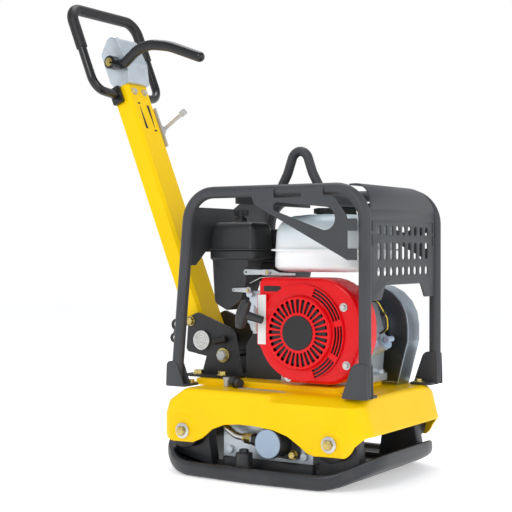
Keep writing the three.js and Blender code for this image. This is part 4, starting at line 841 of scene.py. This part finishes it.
# ---- pole, head and handle ---------------------------------------------------------------------------
def pole():
    """The pole, the head, the handle bent from one tube in its sleeve, the shift lever and the pivot pin."""
    eased("centre_pole", YELLOW, bevel=0.0018)
    eased("control_head", ALLOY, bevel=0.0045, angle=24)
    eased("pole_bracket", BLACK, bevel=0.0014)
    eased("pole_latch", BLACK, bevel=0.0008, angle=40)
    eased("throttle_bracket", DULL_ZINC, bevel=0.0008)
    eased("throttle_lever", DULL_ZINC, bevel=0.0008)
    x, y = -24 * MM, 117 * MM
    start, top, bend = 594 * MM, 804 * MM, 34 * MM
    side = 40.3 * MM
    corners = [[x, -side, start, 0], [x, -y, start + 0.01, bend], [x, -y, top, bend], [x, y, top, bend],
               [x, y, start + 0.01, bend], [x, side, start, 0]]
    loop = tube(bent_path(corners, 14), 10 * MM, 32, ref=FORWARD)
    stand_in("handle_bar", pole_shape(loop), HANDLE, "handle_loop")
    sleeve = [[x, -y, top - 0.102, 0], [x, -y, top, bend], [x, y, top, bend], [x, y, top - 0.102, 0]]
    foam = tube(bent_path(sleeve, 16), 12.5 * MM, 32, ref=FORWARD, edge=0.0025)
    stand_in("handle_grip_sleeve", pole_shape(foam), RUBBER, "handle_sleeve")
    for s in (-1, 1):
        block = rectangle(x - 0.014, x + 0.014, start - 0.02, start + 0.02, 0.004)
        p, f = on_y(plate(block, [], 10 * MM, 0.001), side if s > 0 else -side - 0.01)
        detail(f"handle_clamp_{'left' if s > 0 else 'right'}", (on_pole(p), f), HANDLE, "pole")
    hub = 668 * MM
    ly = -38.3 * MM
    bar = bent_path([[-0.006, ly - 0.012, hub, 0], [0.02, ly - 0.012, hub - 0.02, 0.03],
                     [0.09, ly - 0.012, hub - 0.002, 0.085], [0.15, ly - 0.008, hub - 0.038, 0.14],
                     [0.211, ly - 0.0042, hub - 0.0945, 0]], 14)
    lever = together(
        round_ended(bar, 11.6 * MM),
        turned(chamfered(0.015, 0, 0.022, 0.0015), [-0.006, ly, hub], RIGHT))
    stand_in("shift_lever_bar", pole_shape(lever), HANDLE, "shift_lever")
    stud = together(
        washer([-0.006, ly - 0.022, hub], RIGHT, 0.0095, 0.004, 0.0014),
        hex_head([-0.006, ly - 0.0234, hub], RIGHT, 0.0062, 0.005))
    detail("shift_lever_bolt", pole_shape(stud), GOLD_ZINC, "shift_lever")
    centre = np.array([PIVOT[0], 0, PIVOT[2]])
    rings = [[0.0205, 0], [0.021, 0.0006], [0.021, 0.0062], [0.0203, 0.007], [0.0165, 0.007],
             [0.016, 0.0064], [0.0155, 0.007], [0.0115, 0.007], [0.011, 0.0064], [0.0105, 0.007],
             [0.006, 0.007], [0.0055, 0.0064], [0.005, 0.007]]
    caps = [turned(rings, centre + [0, s * 0.0573, 0], (0, s, 0), 64) for s in (-1, 1)]
    shank = turned(chamfered(0.012, -0.0573, 0.0573, 0.0005), centre, LEFT)
    stand_in("pivot_pin_turned", together(*caps, shank), ZINC, "pole_pivot_pin", angle=25)


def pole_marks():
    """Bolts at the pole's top, and two plain wedge marks that show which way the throttle goes."""
    face = 0.006
    for number, y in enumerate((-0.018, 0.018)):
        head = together(
            washer([face, y, 0.594], FORWARD, 0.0084, 0.004, 0.0012),
            hex_head([face + 0.0012, y, 0.594], FORWARD, 0.0064, 0.0045))
        detail(f"pole_top_bolt_{number + 1}", pole_shape(head), DULL_ZINC, "pole")
    for number, (y, turn_over) in enumerate(((-0.014, 1), (0.016, -1))):
        middle = 0.532
        wedge_flat = np.array([[y - 0.0045, -0.030], [y + 0.0045, -0.030], [y + 0.0006, 0.026],
                               [y - 0.0006, 0.026]])
        wedge_flat[:, 1] = middle + turn_over * wedge_flat[:, 1]
        bar_flat = np.array([[y - 0.0045, 0.031], [y + 0.0045, 0.031], [y + 0.0045, 0.035],
                             [y - 0.0045, 0.035]])
        bar_flat[:, 1] = middle + turn_over * bar_flat[:, 1]
        marks = [plate(flat, [], 0.0003, 0.00005) for flat in (wedge_flat, bar_flat)]
        p, f = together(*marks)
        p = np.stack([face + 0.00005 + p[:, 2], p[:, 0], p[:, 1]], 1)
        detail(f"throttle_mark_{number + 1}", (on_pole(p), f), BLACK_LOW, "pole")


def head_fittings():
    """Two low domed plugs on the control head's top, and a boss on its left side."""
    a = np.linspace(0, math.pi / 2 * 0.93, 9)
    dome = np.stack([0.0145 * np.cos(a), 0.0075 * np.sin(a)], 1)
    dome = np.concatenate([[[0.0145, -0.014]], dome])
    top = 0.7285
    for number, (x, y, share) in enumerate(((-0.006, -0.018, 1.0), (-0.009, 0.017, 0.85))):
        shape = turned(dome * share, [x, y, top], UP, 40)
        detail(f"head_plug_{number + 1}", pole_shape(shape), ALLOY, "pole", angle=60)
    side_boss = turned([[0.0088, 0], [0.0088, 0.0125], [0.0078, 0.0135], [0.004, 0.0138]],
                       [-0.006, 0.036, 0.66], LEFT, 40)
    detail("head_side_boss", pole_shape(side_boss), ALLOY, "pole")


def bracket_fittings():
    """Plated bolts: the stop rod's two ends, the latch's bolt and the four that hold the foot."""
    outer = 57 * MM
    for hand, side in (("right", -1), ("left", 1)):
        face = side * outer
        disc = washer([-0.155, face, 0.233], (0, side, 0), 0.0158, 0.004, 0.0034)
        detail(f"stop_washer_{hand}", disc, GOLD_ZINC)
        head = hex_head([-0.155, face + side * 0.0034, 0.233], (0, side, 0), 0.0118, 0.0084)
        detail(f"stop_bolt_{hand}", head, DULL_ZINC)
    head = bolt([-0.24, -outer, 0.303], RIGHT, 0.0092, 0.0058, 0.0108)
    detail("latch_bolt_head", head, GOLD_ZINC)
    for row, x in (("rear", -0.202), ("front", -0.141)):
        for hand, y in (("right", -0.08), ("left", 0.078)):
            head = bolt([x, y, 0.1932], UP, 0.0106, 0.0074, 0.0132)
            detail(f"foot_bolt_{row}_{hand}", head, GOLD_ZINC)
    line = np.array([-0.174, -outer - 0.0085, 0.262]) + np.linspace(0, 1, 10)[:, None] * [0.032, 0, 0.006]
    detail("bracket_buffer", tube(line, 0.0078, 28, edge=0.003), RUBBER, angle=50)


# ---- engine ------------------------------------------------------------------------------------------
CRANK = np.array(JOINT["crank_turn"]["pos_m"])


def shroud_loop(inset, y):
    """The fan cover's outline moved in by inset, at one depth."""
    left, right = CRANK[0] - 0.101 + inset, CRANK[0] + 0.132 - inset
    foot = CRANK[2] - 0.1 + inset
    top = CRANK[2] + 0.108 - inset
    flat = rounded([
        [left, foot + 0.066, 0.012], [left + 0.062, foot, 0.034], [right - 0.034, foot, 0.06],
        [right, CRANK[2] - 0.02, 0.07], [right, top, 0.092 - inset], [left, top, 0.014]], 10)
    return np.stack([flat[:, 0], np.full(len(flat), y), flat[:, 1]], 1)


def fan_cover():
    """A deep drawn cover: its outline steps in round a quarter circle at the front edge."""
    low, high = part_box("fan_cover")
    round_edge = 9 * MM
    a = np.linspace(0, math.pi / 2, 8)
    outer = [shroud_loop(0, high.y)]
    outer += [shroud_loop(round_edge * (1 - math.cos(t)), low.y + round_edge * (1 - math.sin(t))) for t in a]
    stand_in("fan_cover_drawn", stacked(outer), RED, "fan_cover", angle=40)
    # painted shade: the slot is a flush black strip standing for the shade inside the opening
    slot = rectangle(CRANK[0] - 0.088, CRANK[0] - 0.048, CRANK[2] + 0.08, CRANK[2] + 0.091, 0.004)
    detail("fan_cover_slot", on_y(plate(slot, [], 0.0016), low.y - 0.0008), BLACK_LOW)
    for name, grow, y, depth, material in (
        ("fan_cover_pad", 0.0016, low.y - 0.0068, 0.0076, RED),
        ("fan_cover_blank_label", 0.0, low.y - 0.0072, 0.0006, LABEL),
    ):
        left, right = CRANK[0] - 0.0975 - grow, CRANK[0] - 0.0785 + grow
        foot, top = CRANK[2] - 0.026 - grow, CRANK[2] + 0.073 + grow
        card = rectangle(left, right, foot, top, 0.001 + grow)
        detail(name, on_y(plate(card, [], depth, min(0.001, depth / 5)), y), material)
    for number, (dx, dz) in enumerate(((0.094, 0.052), (-0.03, -0.09), (0.1, -0.06))):
        spot = [CRANK[0] + dx, low.y, CRANK[2] + dz]
        detail(f"fan_cover_bolt_{number + 1}", bolt(spot, RIGHT, 0.0055, 0.004, 0.0085), ZINC)


def wedge(inner, outer, angle, width, growth=1.0):
    """A radial slot between two radii, with rounded ends; its outer end is growth times wider."""
    flat = np.array([[inner, -width / 2], [outer, -width / 2 * growth], [outer, width / 2 * growth],
                     [inner, width / 2]])
    turn = np.array([[math.cos(angle), math.sin(angle)], [-math.sin(angle), math.cos(angle)]])
    at = flat @ turn + [CRANK[0], CRANK[2]]
    return rounded([[*corner, width * 0.42] for corner in at], 3)


def arc_slot(radius, width, start, stop):
    """A slot that follows a circle round the crank."""
    a = np.radians(np.linspace(start, stop, 14))
    spoke = np.stack([np.cos(a), np.sin(a)], 1)
    outer, inner = ([CRANK[0], CRANK[2]] + spoke * (radius + half) for half in (width / 2, -width / 2))
    return np.concatenate([outer, inner[::-1]])


def recoil():
    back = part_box("recoil_housing")[1].y
    face = -142 * MM
    holes = [wedge(0.0395, 0.0665, TURN * k / 32, 0.0052, 1.45) for k in range(32)]
    disc = plate(circle(CRANK[0], CRANK[2], 0.0705, 96), holes, 0.003, 0.0008)
    p, f = on_y(disc, face)
    drop = [[0.0700, 0.0012], [0.0712, 0.0015], [0.0722, 0.003], [0.0735, 0.0095], [0.075, 0.0105]]
    wall = turned(drop + [[0.073, 0.0125], [0.0715, 0.0105], [0.0698, 0.0028]], [CRANK[0], face, CRANK[2]],
                  LEFT, 96, ring=True)
    slots = [arc_slot(r, 0.0042, a0, a1) for r in (0.0788, 0.0852, 0.0916)
             for a0, a1 in ((18, 70), (-28, 10), (-70, -36))]
    eye = circle(CRANK[0], CRANK[2], 0.0735, 96)
    ring = plate(circle(CRANK[0], CRANK[2], 0.096, 96), [eye, *slots], 0.003)
    ring = on_y(ring, face + 0.010)
    rim = turned([[0.0955, 0.0105], [0.096, 0.012], [0.096, back - face], [0.093, back - face],
                  [0.093, 0.0125]], [CRANK[0], face, CRANK[2]], LEFT, 96, ring=True)
    stand_in("starter_housing", together((p, f), wall, ring, rim), RED, "recoil_housing", angle=32)
    thin = 0.0022
    centre = [CRANK[0], face - thin, CRANK[2]]
    hub = turned([[0.0335, 0], [0.034, 0.0006], [0.034, thin]], centre, LEFT, 72)
    detail("starter_centre_disc", hub, BLACK_LOW)
    # painted shade: a thin black disc behind the slots stands for the shade inside the starter housing
    shade_disc = turned([[0.093, 0], [0.093, 0.0006]], [CRANK[0], face + 0.0142, CRANK[2]], LEFT, 72)
    detail("starter_dark_screen", shade_disc, BLACK_LOW)
    eased("recoil_reel", BLACK_LOW, bevel=0.0004)


GRIP_WAY = np.array(JOINT["grip_pull"]["axis"])
GRIP_GUIDE = np.array([CRANK[0] - 0.072, -0.139, CRANK[2] + 0.02])


def grip():
    """The pull handle: a waisted stem and a cross bar that thins towards its ends."""
    stem = GRIP_GUIDE + GRIP_WAY * np.linspace(0.0083, 0.05, 12)[:, None]
    cross = np.array([0.36, -0.1, 0.92]) / np.linalg.norm([0.36, -0.1, 0.92])
    middle = GRIP_GUIDE + GRIP_WAY * 0.052
    t = np.linspace(-1, 1, 22)
    bar = middle + cross * (0.031 * t)[:, None] - GRIP_WAY * (0.004 * t**2)[:, None]
    shape = together(
        tube(stem, 0.0078 + 0.002 * np.linspace(0, 1, 12) ** 2, 28, ref=cross, edge=0.0015),
        tube(bar, 0.013 - 0.0042 * np.abs(t) ** 1.6, 28, ref=GRIP_WAY, edge=0.004))
    stand_in("starter_grip", shape, MOULDED, "recoil_grip", angle=60)


def moulding(low, high, corner, profile):
    """A box with rounded corners whose sides follow [inset, height share]; its plan shrinks by inset."""
    loops = []
    for inset, share in profile:
        x0, x1, y0, y1 = low[0] + inset, high[0] - inset, low[1] + inset, high[1] - inset
        r = max(corner - inset * 0.6, 0.002)
        flat = rectangle(x0, x1, y0, y1, r, 10)
        loops.append(np.concatenate([flat, np.full((len(flat), 1), low[2] + (high[2] - low[2]) * share)], 1))
    return stacked(loops)


def quarter(inset, low, high, rising, steps=8):
    """Profile points round a quarter circle: in at the bottom when rising, in at the top when not."""
    a = np.linspace(0, math.pi / 2, steps)
    if rising:
        return [[inset * (1 - math.sin(t)), low + (high - low) * (1 - math.cos(t))] for t in a]
    return [[inset * (1 - math.cos(t)), low + (high - low) * math.sin(t)] for t in a]


def tank_and_cleaner():
    """Tank, cap and air cleaner: rounded boxes whose sides follow a profile, with round necks."""
    low, high = tank_low, tank_high
    seam = (456 * MM - low.z) / (high.z - low.z)
    flange = 0.007
    profile = quarter(flange + 0.022, 0.0, 0.22, True)
    profile = [[max(i, flange), s] for i, s in profile]
    profile += [[flange + 0.001, seam - 0.03], [flange, seam - 0.018], [0.0006, seam - 0.014], [0, seam],
                [0.0006, seam + 0.014], [flange, seam + 0.018], [flange + 0.001, seam + 0.05]]
    profile += [[flange + 0.002 + i, s] for i, s in quarter(0.04, 0.62, 0.965, False, 10)]
    profile += [[0.066, 0.985]]
    cap = JOINT["fuel_cap_turn"]["pos_m"]
    tall = 0.0095
    neck = turned([[0.026, 0], [0.0235, 0.004], [0.021, 0.006], [0.021, tall]],
                  [cap[0], 0, high.z - tall], UP, 48)
    shape = together(moulding(low, high, 0.038, profile), neck)
    stand_in("fuel_tank_moulded", shape, TANK, "fuel_tank", angle=50)
    low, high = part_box("fuel_cap")
    at = [cap[0], 0, low.z]
    shape = together(
        turned([[0.0235, 0], [0.024, 0.0008], [0.024, 0.0105], [0.0225, 0.012]], at, UP),
        *[turned(chamfered(0.0035, 0.0005, 0.0112, 0.0008),
                 [at[0] + 0.0238 * math.cos(a), 0.0238 * math.sin(a), low.z], UP, 12)
          for a in np.linspace(0, TURN, 12, endpoint=False)])
    stand_in("fuel_cap_ribbed", shape, MOULDED, "fuel_cap")
    low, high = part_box("air_cleaner_cover")
    lid = [[0.0008, 0], [0, 0.01], [0, 0.05], [0.0012, 0.06], [0.0035, 0.065], [0.004, 0.09], [0.0055, 0.45]]
    lid += [[0.006 + i, s] for i, s in quarter(0.014, 0.6, 0.86, False)]
    nut = JOINT["air_nut_turn"]["pos_m"]
    seat = turned([[0.021, 0], [0.019, 0.0045], [0.014, 0.0075], [0.0125, 0.0125], [0.0125, 0.0145]],
                  [nut[0], nut[1], high.z - 0.0145], UP, 40)
    shape = together(moulding(low, high, 0.016, lid), seat)
    stand_in("air_cleaner_lid", shape, MOULDED, "air_cleaner_cover", angle=45)
    eased("air_cleaner_base", MOULDED, bevel=0.003)
    eased("air_cleaner_nut", MOULDED, bevel=0.0015)


def flat_lever(node, pivot, end, root):
    """A flat plated lever: a taper with round ends, end and root wide each side, with a hub and a screw."""
    low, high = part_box(node)
    x, z = pivot[0], pivot[2]
    tip = low.x
    flat = rounded([[tip, z - end, end * 0.96], [x + root, z - root, root * 0.96],
                    [x + root, z + root, root * 0.96], [tip, z + end, end * 0.96]])
    hole = circle(tip + end, z, end * 0.38, 20)
    shape = together(
        on_y(plate(flat, [hole], 0.0022, 0.0004), low.y + 0.0006),
        turned(chamfered(root + 0.0008, 0.0004, high.y - low.y, 0.0005), [x, low.y, z], LEFT, 32))
    stand_in(node + "_plate", shape, DULL_ZINC, node, angle=40)
    screw = hex_head([x, low.y + 0.0003, z], RIGHT, 0.0036, 0.0022)
    detail(node + "_screw", screw, GOLD_ZINC, BODY_OF[node])


def linkage():
    """Under the tank: the control plate, its spring and the rod that works the throttle valve."""
    y = -0.1045
    flat = rounded([[-0.03, 0.4045, 0.003], [0.05, 0.4045, 0.003], [0.05, 0.4095, 0.002],
                    [0.012, 0.4105, 0.002], [-0.004, 0.4165, 0.003], [-0.03, 0.4165, 0.003]])
    detail("control_plate", on_y(plate(flat, [], 0.0016), y), DULL_ZINC)
    turns = 11
    t = np.linspace(0, 1, turns * 12)
    coil = np.stack([-0.052 + 0.036 * t, -0.099 + 0.0028 * np.cos(TURN * turns * t),
                     0.4125 + 0.0028 * np.sin(TURN * turns * t)], 1)
    detail("governor_spring", tube(coil, 0.0005, 8, ref=FORWARD, edge=0.0001), ZINC)
    rod = bent_path([[-0.062, -0.098, 0.388, 0], [-0.036, -0.098, 0.4, 0.006], [0.03, -0.098, 0.4045, 0]])
    detail("throttle_rod", tube(rod, 0.0012, 12, edge=0.0003), ZINC)
    shield = rounded([[-0.1, 0.1878, 0.002], [-0.0135, 0.1878, 0.002], [-0.0135, 0.284, 0.004],
                      [-0.082, 0.284, 0.014], [-0.1, 0.255, 0.01]])
    detail("engine_rear_shield", on_y(plate(shield, [], 0.003), -0.054), BLACK)


def bed_fittings():
    """On the bed beside the bracket: a stud, a hose clamp with a round end and its flat strap."""
    stud = together(
        turned(chamfered(0.0062, 0, 0.014, 0.0008), [-0.106, -0.118, 0.1752], UP, 32),
        hex_head([-0.106, -0.118, 0.189], UP, 0.0078, 0.0052))
    detail("bed_stud", stud, DULL_ZINC)
    line = np.array([-0.092, -0.118, 0.1855]) + np.linspace(0, 1, 9)[:, None] * [0.03, -0.016, 0.0]
    body = together(
        tube(line, 0.0092, 32, edge=0.0015),
        washer(line[3], [0.03, -0.016, 0], 0.0112, 0.0075, 0.005))
    detail("bed_clamp", body, BLACK)
    flat = rounded([[-0.068, -0.136, 0.003], [0.05, -0.146, 0.001], [0.05, -0.1435, 0.001],
                    [0.012, -0.133, 0.01], [-0.068, -0.124, 0.003]])
    p, f = plate(flat, [], 0.0014)
    detail("bed_strap", (p + [0, 0, 0.1753], f), DULL_ZINC)


def wiring():
    """Two sleeved wires from the engine's switch down its front, clipped to the crankcase."""
    for name, shift, material in (("wire_black", 0.0, RUBBER), ("wire_yellow", 0.0045, WIRE_YELLOW)):
        corners = [[0.176, -0.03 + shift, 0.357, 0], [0.19, -0.024 + shift, 0.352, 0.008],
                   [0.193, 0.012 + shift, 0.318, 0.02], [0.19, 0.02 + shift, 0.296, 0.012],
                   [0.172, 0.026 + shift, 0.286, 0]]
        detail(name, tube(bent_path(corners, 8), 0.0019, 14), material, angle=60)
    clip = washer([0.1915, 0.0, 0.33], (0, 0.75, -0.66), 0.0066, 0.0046, 0.004)
    detail("wire_clip", clip, BLACK, slot="black_plastic")


def small_engine_parts():
    """The engine's plainer pieces, with eased edges, and its two flat levers."""
    eased("crankcase", ALLOY, bevel=0.0025)
    eased("oil_cap", PALE, bevel=0.0012)
    eased("carburettor", ALLOY, bevel=0.0014)
    flat_lever("choke_lever", JOINT["choke_turn"]["pos_m"], 0.0035, 0.0055)
    flat_lever("governor_lever", JOINT["governor_turn"]["pos_m"], 0.0058, 0.0045)
    eased("cylinder_head", ALLOY, bevel=0.0008)
    eased("spark_plug_cap", RUBBER, bevel=0.001)
    eased("muffler", GRAPHITE, bevel=0.003)
    eased("flywheel_fan", ALLOY, bevel=0.0008)
    eased("throttle_cable", RUBBER, bevel=0.0, angle=60)
    eased("belt_guard", GUARD, bevel=0.0025)


# ---- studio ------------------------------------------------------------------------------------------
def studio():
    """Pale floor, soft lights and the camera."""
    mesh = bpy.data.meshes.new("floor")
    far = 6.0
    mesh.from_pydata([(-far, -far, 0), (far, -far, 0), (far, far, 0), (-far, far, 0)], [], [(0, 1, 2, 3)])
    floor = bpy.data.objects.new("floor", mesh)
    bpy.context.scene.collection.objects.link(floor)
    f = Finish("pale_floor")
    f.feed(Base_Color=f.mix(f.noise(2, 3) * 0.15, (0.97, 0.97, 0.97, 1), (0.94, 0.94, 0.95, 1)))
    f.shader.inputs["Roughness"].default_value = 0.6
    f.shader.inputs["Emission Color"].default_value = (1, 1, 1, 1)
    f.shader.inputs["Emission Strength"].default_value = 0.4
    mesh.materials.append(f.material)
    world = bpy.data.worlds.new("studio")
    bpy.context.scene.world = world
    world.use_nodes = True
    tree = world.node_tree
    sky = {kind: tree.nodes.new("ShaderNode" + kind) for kind in ("TexCoord", "SeparateXYZ", "ValToRGB")}
    ramp = sky["ValToRGB"].color_ramp
    ramp.elements[0].position, ramp.elements[0].color = 0.2, (1, 1, 1, 1)
    ramp.elements[1].position, ramp.elements[1].color = 0.55, (0.5, 0.51, 0.54, 1)
    tree.links.new(sky["TexCoord"].outputs["Generated"], sky["SeparateXYZ"].inputs[0])
    tree.links.new(sky["SeparateXYZ"].outputs["Z"], sky["ValToRGB"].inputs[0])
    tree.links.new(sky["ValToRGB"].outputs[0], tree.nodes["Background"].inputs["Color"])
    tree.nodes["Background"].inputs["Strength"].default_value = 1.0
    bpy.context.scene.view_settings.view_transform = "Standard"
    aim = (cad_box[0] + cad_box[1]) / 2
    for name, where, size, power in (
        ("key", (0.2, -2.4, 2.2), 1.1, 21),
        ("fill", (2.6, -0.4, 1.4), 1.2, 13),
        ("top", (-0.6, 0.6, 2.8), 1.4, 22),
    ):
        light = bpy.data.lights.new(name, "AREA")
        light.size = size
        light.energy = power
        lamp = bpy.data.objects.new(name, light)
        lamp.location = where
        lamp.rotation_euler = (aim - Vector(where)).to_track_quat("-Z", "Y").to_euler()
        bpy.context.scene.collection.objects.link(lamp)
    lens = bpy.data.cameras.new("camera")
    lens.lens = 83.88
    lens.sensor_width = 36
    camera = bpy.data.objects.new("camera", lens)
    camera.location = (1.2557, -2.1593, 0.456)
    turn, dip = math.radians(32.3), math.radians(-0.288)
    look = Vector((-math.sin(turn) * math.cos(dip), math.cos(turn) * math.cos(dip), math.sin(dip)))
    camera.rotation_euler = look.to_track_quat("-Z", "Y").to_euler()
    bpy.context.scene.collection.objects.link(camera)
    bpy.context.scene.camera = camera


studio()
cage()
base_and_bed()
exciter()
pole()
pole_marks()
head_fittings()
bracket_fittings()
fan_cover()
recoil()
grip()
tank_and_cleaner()
small_engine_parts()
linkage()
bed_fittings()
wiring()
